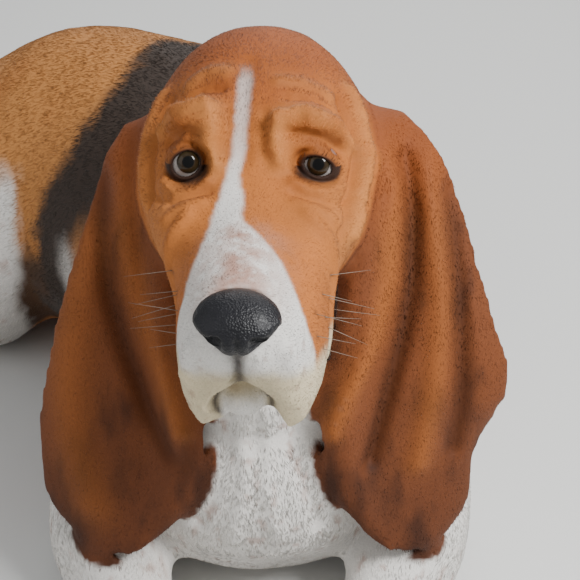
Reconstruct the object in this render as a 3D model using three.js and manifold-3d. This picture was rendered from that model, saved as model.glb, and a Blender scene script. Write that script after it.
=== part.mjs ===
// A basset hound lying with its head up, life size, in millimetres, +Z up.
// The dog faces -Y, its left side is +X, and its back curls round towards -X.
// It rests on the floor plane z = 0 on small flats of the brisket, belly, legs, paws and tail.
import * as THREE from 'three';
import { mergeVertices } from 'three/addons/utils/BufferGeometryUtils.js';
import Module from 'manifold-3d';

const wasm = await Module();
wasm.setup();

// Driving dimensions
const GAP = 0.3;
const FLAT_SNAP = 0.05;
const CUT_BOX = 1600;

// The head's own frame: u to the dog's left, v towards the nose, w up
const HEAD_ORIGIN = new THREE.Vector3(3, -5, 305);
const HEAD_YAW = THREE.MathUtils.degToRad(-2.2);
const EYE_RADIUS = 12;
const EYE_SPREAD = 36.5;
const EYE_FORWARD = 69;
const EYE_HEIGHT = 18.5;
const LID_HALF_WIDTH = 9.6;
const LID_UPPER = 6.0;
const LID_LOWER = 7.6;
const LID_THICK = 2.6;
const LID_TILT = THREE.MathUtils.degToRad(20);
const SOCKET_RADIUS = 8;
const NOSE_HALF_WIDTH = 22.5;
const NOSE_HEIGHT = 27;
const NOSE_FORWARD = 197;
const CHIN_SLOT_RADIUS = 17.5;
const UNDER_JAW_RADIUS = 15;
const EAR_THICK = 6;
const EAR_ROWS = 17;
const EAR_COLUMNS = 12;
const DRAPE_DEPTH = 4;
const CUP_DEPTH = 9;
const ROLL_DEPTH = 13;
const VALLEY_DEPTH = 8;
const TOE_COUNT = 4;
const TOE_RADIUS = 12.5;
const CLAW_LENGTH = 15;

// Materials
const COLOURS = {
  tan: '#b5763f',
  mahogany: '#7d4626',
  white: '#e6dfd2',
  saddle: '#463a32',
  leather: '#26242a',
  eye: '#2e2416',
  claw: '#5d5046',
};

const paint = (colour, roughness) =>
  new THREE.MeshStandardMaterial({ color: COLOURS[colour], roughness, metalness: 0 });

// Distance fields of soft forms
const vec = (x, y, z) => new THREE.Vector3(x, y, z);

function ball(centre, radii) {
  return (p) => {
    const x = (p.x - centre.x) / radii[0];
    const y = (p.y - centre.y) / radii[1];
    const z = (p.z - centre.z) / radii[2];
    const near = Math.hypot(x, y, z);
    const slope = Math.hypot(x / radii[0], y / radii[1], z / radii[2]);
    return slope > 0 ? (near * (near - 1)) / slope : -Math.min(...radii);
  };
}

// A limb that tapers between two round ends
function limb(start, end, startRadius, endRadius) {
  const along = end.clone().sub(start);
  const length2 = along.lengthSq();
  return (p) => {
    const share = THREE.MathUtils.clamp(p.clone().sub(start).dot(along) / length2, 0, 1);
    const centre = start.clone().addScaledVector(along, share);
    return p.distanceTo(centre) - THREE.MathUtils.lerp(startRadius, endRadius, share);
  };
}

const mirrored = (shape) => (p) => shape(vec(Math.abs(p.x), p.y, p.z));

// Forms are joined in order, each with a fillet of its own softness
function joined(forms) {
  return (p) => {
    let value = forms[0].shape(p);
    for (const { shape, soft } of forms.slice(1)) {
      const other = shape(p);
      const mix = Math.max(soft - Math.abs(value - other), 0) / soft;
      value = Math.min(value, other) - (mix * mix * soft) / 4;
    }
    return value;
  };
}

const onFloor = (field) => (p) => Math.max(field(p), -p.z);

function surfacePoint(field, centre, direction, reach) {
  const step = 3;
  let outside = reach;
  const at = (r) => field(centre.clone().addScaledVector(direction, r));
  let inside = outside - step;
  while (inside > 0 && at(inside) > 0) {
    outside = inside;
    inside -= step;
  }
  inside = Math.max(inside, 0);
  for (let i = 0; i < 22; i += 1) {
    const middle = (inside + outside) / 2;
    if (at(middle) > 0) outside = middle;
    else inside = middle;
  }
  return centre.clone().addScaledVector(direction, (inside + outside) / 2);
}

// A closed skin found by rays that leave a spine squarely and fan out over its two ends
function skin({ spine, field, rings, sides, caps, reach, place }) {
  const curve = new THREE.CatmullRomCurve3(spine);
  const first = curve.getTangentAt(0);
  const lead = Math.abs(first.z) > 0.8 ? vec(0, 1, 0) : vec(0, 0, 1);
  const rows = [];
  for (let i = 1; i <= caps; i += 1) rows.push([0, -(1 - i / (caps + 1))]);
  for (let i = 0; i <= rings; i += 1) rows.push([i / rings, 0]);
  for (let i = 1; i <= caps; i += 1) rows.push([1, i / (caps + 1)]);
  const points = [];
  const frameAt = (t) => {
    const tangent = curve.getTangentAt(t);
    const side = new THREE.Vector3().crossVectors(lead, tangent).normalize();
    const over = new THREE.Vector3().crossVectors(tangent, side);
    return { centre: curve.getPointAt(t), tangent, side, over };
  };
  const start = frameAt(0);
  const end = frameAt(1);
  points.push(surfacePoint(field, start.centre, start.tangent.clone().negate(), reach));
  for (const [t, lean] of rows) {
    const { centre, tangent, side, over } = frameAt(t);
    const tilt = (lean * Math.PI) / 2;
    for (let j = 0; j < sides; j += 1) {
      const turn = (2 * Math.PI * j) / sides;
      const direction = side.clone().multiplyScalar(Math.cos(turn));
      direction.addScaledVector(over, Math.sin(turn)).multiplyScalar(Math.cos(tilt));
      direction.addScaledVector(tangent, Math.sin(tilt)).normalize();
      points.push(surfacePoint(field, centre, direction, reach));
    }
  }
  points.push(surfacePoint(field, end.centre, end.tangent.clone(), reach));
  const faces = [];
  const last = points.length - 1;
  const at = (row, j) => 1 + row * sides + (j % sides);
  for (let j = 0; j < sides; j += 1) {
    faces.push(0, at(0, j + 1), at(0, j));
    faces.push(last, at(rows.length - 1, j), at(rows.length - 1, j + 1));
    for (let row = 0; row < rows.length - 1; row += 1) {
      faces.push(at(row, j), at(row, j + 1), at(row + 1, j + 1));
      faces.push(at(row, j), at(row + 1, j + 1), at(row + 1, j));
    }
  }
  return surfaceOf(points, faces, place);
}

function surfaceOf(points, faces, place) {
  const geometry = new THREE.BufferGeometry().setFromPoints(points);
  geometry.setIndex(faces);
  if (place) geometry.applyMatrix4(place);
  const position = geometry.attributes.position;
  for (let i = 0; i < position.count; i += 1) {
    if (Math.abs(position.getZ(i)) < FLAT_SNAP) position.setZ(i, 0);
  }
  return geometry;
}

// Solids that can be cut and joined
function solid(geometry) {
  const plain = geometry.clone();
  plain.deleteAttribute('normal');
  plain.deleteAttribute('uv');
  const merged = mergeVertices(plain, 1e-4);
  const vertProperties = new Float32Array(merged.attributes.position.array);
  const triVerts = new Uint32Array(merged.index.array);
  const made = new wasm.Manifold(new wasm.Mesh({ numProp: 3, vertProperties, triVerts }));
  return made.volume() > 0 ? made : solid(turnedInsideOut(merged));
}

function turnedInsideOut(geometry) {
  const turned = geometry.clone();
  const index = turned.index.array;
  for (let i = 0; i < index.length; i += 3) {
    [index[i], index[i + 1]] = [index[i + 1], index[i]];
  }
  return turned;
}

function geometryOf(body) {
  const mesh = body.getMesh();
  const geometry = new THREE.BufferGeometry();
  const count = mesh.vertProperties.length / mesh.numProp;
  const position = new Float32Array(count * 3);
  for (let i = 0; i < count; i += 1) {
    for (let k = 0; k < 3; k += 1) {
      position[i * 3 + k] = mesh.vertProperties[i * mesh.numProp + k];
    }
  }
  geometry.setAttribute('position', new THREE.BufferAttribute(position, 3));
  geometry.setIndex(new THREE.BufferAttribute(new Uint32Array(mesh.triVerts), 1));
  return mergeVertices(geometry, 1e-4);
}

const largest = (body) =>
  body.decompose().reduce((best, piece) => (piece.volume() > best.volume() ? piece : best));

// The same solid with its skin moved outwards by the gap that neighbours keep
function swollen(body, by = GAP) {
  const geometry = geometryOf(body);
  geometry.computeVertexNormals();
  const position = geometry.attributes.position;
  const normal = geometry.attributes.normal;
  for (let i = 0; i < position.count; i += 1) {
    position.setXYZ(
      i,
      position.getX(i) + normal.getX(i) * by,
      position.getY(i) + normal.getY(i) * by,
      position.getZ(i) + normal.getZ(i) * by,
    );
  }
  return solid(geometry);
}

const cutBy = (body, ...others) =>
  largest(others.reduce((rest, other) => rest.subtract(swollen(other)), body));

// A half of space, as a big box whose face passes through a point and looks along a direction
function halfSpace(point, direction) {
  const box = new THREE.BoxGeometry(CUT_BOX, CUT_BOX, CUT_BOX);
  const turn = new THREE.Quaternion().setFromUnitVectors(vec(0, 0, 1), direction.clone().normalize());
  box.applyQuaternion(turn);
  const centre = point.clone().addScaledVector(direction.clone().normalize(), -CUT_BOX / 2);
  box.translate(centre.x, centre.y, centre.z);
  return solid(box);
}

// Head
const headPlace = new THREE.Matrix4().compose(
  HEAD_ORIGIN,
  new THREE.Quaternion().setFromAxisAngle(vec(0, 0, 1), HEAD_YAW),
  vec(1, 1, 1),
);

// In the head's frame the nose points along -Y, so v is -y
const inHead = (u, v, w) => vec(u, -v, w);

const headField = joined([
  { shape: ball(inHead(0, 0, 0), [65, 86, 68]) },
  { shape: ball(inHead(0, -50, -2), [40, 38, 42]), soft: 40 },
  { shape: mirrored(ball(inHead(44, 22, -16), [27, 50, 40])), soft: 26 },
  { shape: mirrored(ball(inHead(36, 68, -18), [21, 44, 30])), soft: 26 },
  { shape: limb(inHead(0, 70, -14), inHead(0, 176, -16), 33, 28), soft: 24 },
  { shape: mirrored(ball(inHead(30, 62, 37), [19, 17, 15])), soft: 14 },
  { shape: mirrored(ball(inHead(33, 92, -8), [17, 25, 17])), soft: 18 },
  { shape: ball(inHead(27, 126, -44), [18, 52, 42]), soft: 18 },
  { shape: ball(inHead(-21, 128, -44), [17, 52, 42]), soft: 18 },
  { shape: ball(inHead(25, 152, -60), [15, 34, 37]), soft: 14 },
  { shape: ball(inHead(-19, 154, -60), [14, 34, 37]), soft: 14 },
  { shape: mirrored(ball(inHead(13.5, 177, -30), [16, 19, 24])), soft: 10 },
  { shape: ball(inHead(0, 20, -48), [46, 66, 36]), soft: 30 },
]);

const headWhole = solid(skin({
  spine: [inHead(0, -32, -4), inHead(0, 60, -6), inHead(0, 160, -22)],
  field: headField,
  rings: 23,
  sides: 36,
  caps: 4,
  reach: 150,
  place: headPlace,
}));

const jawField = joined([
  { shape: limb(inHead(0, 62, -62), inHead(0, 160, -66), 20, 13) },
  { shape: ball(inHead(0, 168, -67), [12.5, 13, 14]), soft: 8 },
]);

const jaw = solid(skin({
  spine: [inHead(0, 70, -62), inHead(0, 166, -64)],
  field: jawField,
  rings: 8,
  sides: 16,
  caps: 3,
  reach: 60,
  place: headPlace,
}));

// The open space between the hanging lips: round the chin, and under the whole jaw
const openBetweenLips = (back, front, radius) =>
  solid(skin({
    spine: [back, front],
    field: limb(back, front, radius, radius),
    rings: 4,
    sides: 14,
    caps: 2,
    reach: 40,
    place: headPlace,
  }));
const chinHollow = openBetweenLips(inHead(0, 148, -66), inHead(0, 214, -66), CHIN_SLOT_RADIUS)
  .add(openBetweenLips(inHead(0, 60, -100), inHead(0, 210, -96), UNDER_JAW_RADIUS));

// Nose leather: broad on top, narrower below, with a comma-shaped nostril on each side
function noseShape() {
  const shape = new THREE.SphereGeometry(1, 18, 12);
  const position = shape.attributes.position;
  for (let i = 0; i < position.count; i += 1) {
    const u = position.getX(i);
    const v = position.getZ(i);
    const w = position.getY(i);
    const narrow = 0.8 + 0.2 * Math.tanh(3 * (w + 0.45));
    const square = 1 + 0.1 * Math.max(0, w) * Math.abs(u);
    const groove = 1 - 0.1 * Math.exp(-((u * 7) ** 2)) * Math.max(0, v) * (w < 0.3 ? 1 : 0);
    const lean = 5 * w;
    const p = inHead(
      u * NOSE_HALF_WIDTH * narrow,
      NOSE_FORWARD + v * 16 * groove - lean,
      -2 + (w * square * NOSE_HEIGHT) / 2,
    );
    position.setXYZ(i, p.x, p.y, p.z);
  }
  return shape.applyMatrix4(headPlace);
}

function nostril(side) {
  const shape = new THREE.SphereGeometry(1, 10, 8);
  shape.scale(5.8, 7.5, 3.8);
  shape.rotateY(side * 0.6);
  const centre = inHead(side * 11.5, NOSE_FORWARD + 13.5, -5.5);
  shape.translate(centre.x, centre.y, centre.z);
  return solid(shape.applyMatrix4(headPlace));
}

const nose = largest(solid(noseShape()).subtract(nostril(-1)).subtract(nostril(1)));

// Eyes and the lids that run round them
const eyeCentre = (side) => inHead(side * EYE_SPREAD, EYE_FORWARD, EYE_HEIGHT);

function eyeball(side) {
  const shape = new THREE.SphereGeometry(EYE_RADIUS, 14, 10);
  shape.rotateX(Math.PI / 2);
  const centre = eyeCentre(side);
  shape.translate(centre.x, centre.y, centre.z);
  return solid(shape.applyMatrix4(headPlace));
}

function lids(side) {
  const shape = new THREE.TorusGeometry(1, 0.5, 5, 16);
  const position = shape.attributes.position;
  const centre = eyeCentre(side);
  for (let i = 0; i < position.count; i += 1) {
    const x = position.getX(i);
    const y = position.getY(i);
    const turn = Math.atan2(y, x);
    const out = (Math.hypot(x, y) - 1) / 0.5;
    const front = position.getZ(i) / 0.5;
    const height = Math.sin(turn) > 0 ? LID_UPPER : LID_LOWER;
    const thick = LID_THICK * (Math.sin(turn) > 0 ? 1.25 : 1);
    const u = LID_HALF_WIDTH * Math.cos(turn);
    const w = height * Math.sin(turn);
    const sag = -1.5 * side * Math.cos(turn);
    const forward = Math.sqrt(Math.max(EYE_RADIUS ** 2 - u * u - w * w, 9)) - 1 + front * thick;
    const up = w + sag + out * thick * Math.sin(turn);
    position.setXYZ(
      i,
      centre.x + u * (1 + (out * thick) / LID_HALF_WIDTH),
      centre.y - forward * Math.cos(LID_TILT) + up * Math.sin(LID_TILT),
      centre.z + forward * Math.sin(LID_TILT) + up * Math.cos(LID_TILT),
    );
  }
  return solid(shape.applyMatrix4(headPlace));
}

// The hollow in front of each eyeball, which opens forwards and up
const socket = (side) =>
  solid(skin({
    spine: [inHead(side * EYE_SPREAD, 70, 20), inHead(side * (EYE_SPREAD + 3), 112, 40)],
    field: limb(
      inHead(side * EYE_SPREAD, 70, 20), inHead(side * (EYE_SPREAD + 3), 112, 40),
      SOCKET_RADIUS, SOCKET_RADIUS + 3,
    ),
    rings: 3,
    sides: 10,
    caps: 2,
    reach: 30,
    place: headPlace,
  }));

const eyes = { left: eyeball(1), right: eyeball(-1) };
const lidded = headWhole.subtract(socket(1)).subtract(socket(-1)).add(lids(1)).add(lids(-1));
const hollowed = lidded.subtract(chinHollow);

// Torso: a chain of round sections along a spine that curls to the dog's right
const SECTIONS = [
  { at: vec(0, -26, 92), radius: 101 },
  { at: vec(0, 78, 119), radius: 122 },
  { at: vec(-22, 152, 125), radius: 129 },
  { at: vec(-84, 250, 127), radius: 131 },
  { at: vec(-150, 308, 122), radius: 126 },
  { at: vec(-212, 326, 106), radius: 110 },
];

const chain = (sections, soft) =>
  joined(sections.slice(1).map((next, i) => ({
    shape: limb(sections[i].at, next.at, sections[i].radius, next.radius),
    soft,
  })));

const torsoWhole = solid(skin({
  spine: SECTIONS.map(({ at }) => at),
  field: onFloor(chain(SECTIONS, 30)),
  rings: 15,
  sides: 24,
  caps: 4,
  reach: 190,
}));

const head = cutBy(hollowed, eyes.left, eyes.right, nose, jaw, torsoWhole);

// The torso is parted behind the ribs, square to the spine
const PART_AT = vec(-60, 205, 120);
const PART_ALONG = vec(-0.6, 0.8, 0);
const backHalf = halfSpace(PART_AT, PART_ALONG.clone().negate());
const frontHalf = halfSpace(PART_AT.clone().addScaledVector(PART_ALONG, GAP), PART_ALONG);
const torsoFront = largest(torsoWhole.subtract(backHalf));
const torsoRear = largest(torsoWhole.subtract(frontHalf));

// Neck with its dewlap
const neckField = joined([
  { shape: limb(vec(0, 10, 300), vec(0, 60, 190), 58, 96) },
  { shape: limb(vec(0, -36, 232), vec(0, -48, 170), 50, 66), soft: 40 },
]);

const neckWhole = solid(skin({
  spine: [vec(0, 0, 290), vec(0, 10, 240), vec(0, 20, 190)],
  field: neckField,
  rings: 5,
  sides: 20,
  caps: 2,
  reach: 160,
}));
const neck = cutBy(neckWhole, headWhole, jaw, torsoWhole);

// Limbs: each is a chain of sections, cut clear of what it grows from
function limbSolid(sections, { sides, rings, reach }) {
  return solid(skin({
    spine: sections.map(({ at }) => at),
    field: onFloor(chain(sections, 16)),
    rings,
    sides,
    caps: 2,
    reach,
  }));
}

const side = (sign, x, y, z) => vec(sign * x, y, z);

const upperArm = (sign) => limbSolid([
  { at: side(sign, 90, -6, 136), radius: 50 },
  { at: side(sign, 106, 14, 58), radius: 44 },
], { sides: 12, rings: 4, reach: 90 });

const forearm = (sign) => limbSolid([
  { at: side(sign, 117, 2, 40), radius: 42 },
  { at: side(sign, 110, -74, 36), radius: 38 },
  { at: side(sign, 70, -150, 28), radius: 30 },
], { sides: 14, rings: 6, reach: 80 });

function pawField(wrist, toeBase, across, toeReach) {
  const forward = toeBase.clone().sub(wrist).setZ(0).normalize();
  const forms = [{ shape: limb(wrist, toeBase, 28, 25) }];
  for (let toe = 0; toe < TOE_COUNT; toe += 1) {
    const spread = toe - (TOE_COUNT - 1) / 2;
    const middle = 1 - Math.abs(spread) / TOE_COUNT;
    const root = toeBase.clone().addScaledVector(across, spread * 14).setZ(20);
    const tip = root.clone().addScaledVector(forward, toeReach * middle);
    tip.addScaledVector(across, spread * 3).setZ(TOE_RADIUS - 0.6);
    forms.push({ shape: limb(root, tip, TOE_RADIUS + 2, TOE_RADIUS), soft: 5 });
  }
  return onFloor(joined(forms));
}

function paw(wrist, toeBase, toeReach) {
  const forward = toeBase.clone().sub(wrist).setZ(0).normalize();
  const across = vec(-forward.y, forward.x, 0);
  const field = pawField(wrist, toeBase, across, toeReach);
  const tip = toeBase.clone().addScaledVector(forward, toeReach * 0.35).setZ(16);
  const whole = solid(skin({
    spine: [wrist, toeBase.clone().setZ(18), tip],
    field,
    rings: 5,
    sides: 18,
    caps: 4,
    reach: 70,
  }));
  const claws = [];
  for (let toe = 0; toe < TOE_COUNT; toe += 1) {
    const spread = toe - (TOE_COUNT - 1) / 2;
    const middle = 1 - Math.abs(spread) / TOE_COUNT;
    const at = toeBase.clone().addScaledVector(across, spread * 17);
    at.addScaledVector(forward, toeReach * middle + TOE_RADIUS - 2).setZ(13);
    claws.push(claw(at, forward));
  }
  return { whole, claws };
}

// A claw is a bent cone: it leaves the toe level and its tip turns down
function claw(root, forward) {
  const shape = new THREE.ConeGeometry(3.4, CLAW_LENGTH, 7, 3);
  const position = shape.attributes.position;
  const across = vec(-forward.y, forward.x, 0);
  for (let i = 0; i < position.count; i += 1) {
    const along = position.getY(i) + CLAW_LENGTH / 2;
    const drop = -0.035 * along * along;
    const p = root.clone().addScaledVector(forward, along - 3);
    p.addScaledVector(across, position.getX(i));
    p.z += position.getZ(i) + drop;
    position.setXYZ(i, p.x, p.y, p.z);
  }
  return solid(shape);
}

// Hind legs: thigh, shank with its hock, and paw
const HIND = {
  right: {
    thigh: [
      { at: vec(-206, 252, 112), radius: 88 },
      { at: vec(-234, 202, 68), radius: 58 },
    ],
    shank: [
      { at: vec(-240, 208, 43), radius: 45 },
      { at: vec(-280, 256, 33), radius: 33 },
      { at: vec(-312, 290, 25), radius: 25 },
    ],
    hock: [
      { at: vec(-322, 286, 21), radius: 23 },
      { at: vec(-320, 204, 20), radius: 21 },
    ],
    wrist: vec(-320, 204, 23),
    toeBase: vec(-316, 158, 20),
  },
  left: {
    thigh: [
      { at: vec(-174, 352, 108), radius: 88 },
      { at: vec(-112, 382, 68), radius: 58 },
    ],
    shank: [
      { at: vec(-110, 386, 43), radius: 45 },
      { at: vec(-140, 432, 33), radius: 33 },
      { at: vec(-176, 456, 25), radius: 25 },
    ],
    hock: [
      { at: vec(-178, 468, 21), radius: 23 },
      { at: vec(-98, 470, 20), radius: 21 },
    ],
    wrist: vec(-96, 470, 23),
    toeBase: vec(-52, 462, 20),
  },
};

const TAIL = [
  { at: vec(-300, 338, 84), radius: 25 },
  { at: vec(-344, 350, 44), radius: 21 },
  { at: vec(-384, 340, 16), radius: 17.5 },
  { at: vec(-412, 300, 13), radius: 14.5 },
  { at: vec(-418, 250, 10), radius: 11.5 },
  { at: vec(-408, 200, 6), radius: 7.5 },
];

// Ears: long sheets with a curled front edge, hanging in drapes from the side of the skull
const EARS = {
  left: {
    inner: [
      vec(46, -44, 300), vec(66, -48, 294), vec(58, -60, 276), vec(50, -72, 246),
      vec(45, -84, 214), vec(38, -98, 178), vec(40, -108, 142), vec(54, -116, 104), vec(80, -120, 76),
    ],
    outer: [
      vec(56, 26, 314), vec(94, 4, 318), vec(118, -20, 294), vec(137, -42, 243),
      vec(149, -58, 208), vec(161, -70, 168), vec(140, -80, 124), vec(138, -92, 86), vec(116, -110, 66),
    ],
    drapes: 2.6,
    phase: 0.4,
  },
  right: {
    inner: [
      vec(-40, -42, 300), vec(-60, -46, 292), vec(-52, -58, 274), vec(-44, -72, 244),
      vec(-38, -86, 212), vec(-31, -101, 174), vec(-29, -110, 142), vec(-43, -117, 104), vec(-74, -121, 74),
    ],
    outer: [
      vec(-50, 26, 308), vec(-84, 6, 308), vec(-102, -20, 270), vec(-116, -42, 234),
      vec(-128, -58, 196), vec(-138, -70, 154), vec(-141, -80, 116), vec(-136, -90, 84), vec(-110, -113, 66),
    ],
    drapes: 2.2,
    phase: 1.4,
  },
};

const bump = (x) => Math.exp(-(x ** 2));

function earPoint(inner, outer, ear, s, t) {
  const a = inner.getPoint(s);
  const b = outer.getPoint(s);
  const p = a.clone().lerp(b, t);
  const open = THREE.MathUtils.smoothstep(s, 0.08, 0.35);
  const hang = Math.sin(Math.PI * Math.min(s * 1.1, 1));
  const wave = Math.sin(t * Math.PI * ear.drapes + ear.phase) * DRAPE_DEPTH * hang;
  const cup = Math.sin(Math.PI * t) * CUP_DEPTH;
  const roll = bump((t - 0.13) / 0.11) * ROLL_DEPTH * (1 - s * 0.55);
  const valley = bump((t - 0.31) / 0.08) * VALLEY_DEPTH * hang;
  p.y += (valley - wave - cup - roll) * open;
  p.z += Math.sin(Math.PI * t) * 8 * (1 - open);
  return p;
}

function earSheet(ear) {
  const inner = new THREE.CatmullRomCurve3(ear.inner);
  const outer = new THREE.CatmullRomCurve3(ear.outer);
  const faceSides = [1, -1];
  const points = [];
  for (const face of faceSides) {
    for (let i = 0; i <= EAR_ROWS; i += 1) {
      for (let j = 0; j <= EAR_COLUMNS; j += 1) {
        const s = i / EAR_ROWS;
        const t = j / EAR_COLUMNS;
        const tiny = 0.01;
        const p = earPoint(inner, outer, ear, s, t);
        const down = earPoint(inner, outer, ear, Math.min(s + tiny, 1), t);
        down.sub(earPoint(inner, outer, ear, Math.max(s - tiny, 0), t));
        const over = earPoint(inner, outer, ear, s, t + tiny);
        over.sub(earPoint(inner, outer, ear, s, t - tiny));
        const normal = down.cross(over).normalize();
        const rim = Math.min(1, 0.45 + 4 * Math.min(t, 1 - t, 1 - s));
        points.push(p.addScaledVector(normal, (face * EAR_THICK * rim) / 2));
      }
    }
  }
  const row = EAR_COLUMNS + 1;
  const sheet = row * (EAR_ROWS + 1);
  const faces = [];
  const quad = (a, b, c, d) => faces.push(a, b, c, a, c, d);
  for (let i = 0; i < EAR_ROWS; i += 1) {
    for (let j = 0; j < EAR_COLUMNS; j += 1) {
      const a = i * row + j;
      faces.push(a, a + row, a + row + 1, a, a + row + 1, a + 1);
      const b = a + sheet;
      faces.push(b, b + row + 1, b + row, b, b + 1, b + row + 1);
    }
    const left = i * row;
    const right = left + EAR_COLUMNS;
    quad(left, left + sheet, left + row + sheet, left + row);
    quad(right, right + row, right + row + sheet, right + sheet);
  }
  for (let j = 0; j < EAR_COLUMNS; j += 1) {
    const bottom = EAR_ROWS * row + j;
    quad(j, j + 1, j + 1 + sheet, j + sheet);
    quad(bottom, bottom + sheet, bottom + 1 + sheet, bottom + 1);
  }
  return solid(surfaceOf(points, faces));
}

// Assembly
const group = new THREE.Group();

function addNode(name, body, material) {
  const geometry = geometryOf(body);
  geometry.computeVertexNormals();
  const mesh = new THREE.Mesh(geometry, material);
  mesh.name = name;
  group.add(mesh);
}

addNode('head', head, paint('tan', 0.8));
addNode('lower_jaw', jaw, paint('white', 0.8));
addNode('nose', nose, paint('leather', 0.4));
addNode('eye_left', eyes.left, paint('eye', 0.1));
addNode('eye_right', eyes.right, paint('eye', 0.1));
addNode('neck', neck, paint('white', 0.8));
addNode('torso_front', torsoFront, paint('saddle', 0.8));
addNode('torso_rear', torsoRear, paint('tan', 0.8));

const forelegs = {};
for (const [name, sign] of [['left', 1], ['right', -1]]) {
  const armWhole = upperArm(sign);
  const legWhole = forearm(sign);
  const { whole: pawWhole, claws } = paw(side(sign, 66, -152, 26), side(sign, 56, -206, 22), 26);
  const foot = cutBy(pawWhole, legWhole);
  forelegs[name] = [armWhole, legWhole];
  addNode(`upper_arm_${name}`, cutBy(armWhole, torsoWhole, neckWhole), paint('tan', 0.8));
  addNode(`foreleg_${name}`, cutBy(legWhole, armWhole, torsoWhole), paint('white', 0.8));
  addNode(`forepaw_${name}`, foot, paint('white', 0.8));
  claws.forEach((one, i) => {
    addNode(`claw_fore_${name}_${i + 1}`, cutBy(one, pawWhole), paint('claw', 0.4));
  });
}

for (const name of ['left', 'right']) {
  const { thigh, shank, hock, wrist, toeBase } = HIND[name];
  const thighWhole = limbSolid(thigh, { sides: 16, rings: 5, reach: 120 });
  const shankWhole = limbSolid(shank, { sides: 12, rings: 5, reach: 70 });
  const hockWhole = limbSolid(hock, { sides: 10, rings: 3, reach: 50 });
  const thighBody = cutBy(thighWhole, torsoWhole);
  const shankBody = cutBy(shankWhole, thighWhole, torsoWhole);
  const { whole: pawWhole, claws } = paw(wrist, toeBase, 24);
  const hockBody = cutBy(hockWhole, shankWhole, thighWhole, torsoWhole);
  const foot = cutBy(pawWhole, hockWhole, shankWhole, thighWhole, torsoWhole);
  addNode(`thigh_${name}`, thighBody, paint('tan', 0.8));
  addNode(`shank_${name}`, shankBody, paint('white', 0.8));
  addNode(`hock_${name}`, hockBody, paint('white', 0.8));
  addNode(`hindpaw_${name}`, foot, paint('white', 0.8));
  claws.forEach((one, i) => {
    addNode(`claw_hind_${name}_${i + 1}`, cutBy(one, pawWhole), paint('claw', 0.4));
  });
}

addNode('tail', cutBy(limbSolid(TAIL, { sides: 9, rings: 11, reach: 45 }), torsoWhole), paint('tan', 0.8));

for (const name of ['left', 'right']) {
  const sheet = cutBy(
    earSheet(EARS[name]), headWhole, neckWhole, torsoWhole, ...forelegs[name],
  );
  addNode(`ear_${name}`, sheet, paint('mahogany', 0.8));
}

// The frame's origin is on the floor, under the middle of the dog's outer box
const middle = new THREE.Box3().setFromObject(group, true).getCenter(vec(0, 0, 0));
group.position.set(-middle.x, -middle.y, 0);

export default group;
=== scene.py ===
"""A life-size basset hound lying with its head up: one skin, its short coat, eyes, nose and claws."""

import logging
import math
from dataclasses import dataclass, field
from enum import Enum
from typing import Callable

import bmesh
import bpy
import numpy as np
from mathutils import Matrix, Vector


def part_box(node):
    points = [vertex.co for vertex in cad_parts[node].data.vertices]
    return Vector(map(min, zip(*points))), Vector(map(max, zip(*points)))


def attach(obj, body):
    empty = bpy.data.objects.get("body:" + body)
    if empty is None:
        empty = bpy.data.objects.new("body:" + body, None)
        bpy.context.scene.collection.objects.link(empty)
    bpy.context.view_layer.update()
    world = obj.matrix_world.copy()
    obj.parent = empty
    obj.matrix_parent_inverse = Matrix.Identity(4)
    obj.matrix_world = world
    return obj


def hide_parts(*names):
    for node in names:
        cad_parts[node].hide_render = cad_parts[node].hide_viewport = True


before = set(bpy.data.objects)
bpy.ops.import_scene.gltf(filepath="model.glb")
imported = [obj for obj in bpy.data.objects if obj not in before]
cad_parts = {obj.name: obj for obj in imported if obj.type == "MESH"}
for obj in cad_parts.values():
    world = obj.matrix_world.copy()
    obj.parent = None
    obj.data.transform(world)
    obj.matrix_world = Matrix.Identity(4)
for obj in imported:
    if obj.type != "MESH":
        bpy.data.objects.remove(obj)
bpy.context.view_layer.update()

MM = 0.001
LOG = logging.getLogger("basset")

WELD_M = 1e-6
FAR = 1e9
TINY = 1e-9
FLOOR_GAP_M = 0.0009
TUFT_GAP_M = 0.0003
TIP_GAP_M = 0.0006

EYE_AT_MM = (36.5, 69.0, 18.5)
HEAD_ORIGIN_MM = (3.0, -5.0, 305.0)

CAMERA_AT_MM = (21.0, -704.0, 648.0)
CAMERA_PITCH_DEG = 33.0
CAMERA_FOCAL_PX = 1260.0
PHOTO_PX = 580
SENSOR_MM = 36.0

FLESH = (
    "head", "lower_jaw", "neck", "torso_front", "torso_rear", "tail", "ear_left", "ear_right",
    "upper_arm_left", "upper_arm_right", "foreleg_left", "foreleg_right",
    "forepaw_left", "forepaw_right", "thigh_left", "thigh_right", "shank_left", "shank_right",
    "hock_left", "hock_right", "hindpaw_left", "hindpaw_right",
)


class Side(Enum):
    """The dog's left or right, with the sign of the head's u axis."""

    LEFT = 1
    RIGHT = -1

    @property
    def word(self) -> str:
        """The side as it stands in node names."""
        return self.name.lower()


def deselect_all() -> None:
    """Clears the selection."""
    for thing in bpy.context.selected_objects:
        thing.select_set(False)


def make_active(piece: bpy.types.Object) -> None:
    """Selects one object alone and makes it the active one."""
    deselect_all()
    piece.select_set(True)
    bpy.context.view_layer.objects.active = piece


def apply_modifier(piece: bpy.types.Object, name: str) -> None:
    """Applies one modifier by name."""
    make_active(piece)
    bpy.ops.object.modifier_apply(modifier=name)


def smooth_shaded(mesh: bpy.types.Mesh) -> None:
    """Turns on smooth shading for every face."""
    mesh.polygons.foreach_set("use_smooth", np.ones(len(mesh.polygons), dtype=bool))


def points_of(mesh: bpy.types.Mesh) -> np.ndarray:
    """The mesh's vertices as an array of metres."""
    flat = np.empty(len(mesh.vertices) * 3)
    mesh.vertices.foreach_get("co", flat)
    return flat.reshape(-1, 3)


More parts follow.
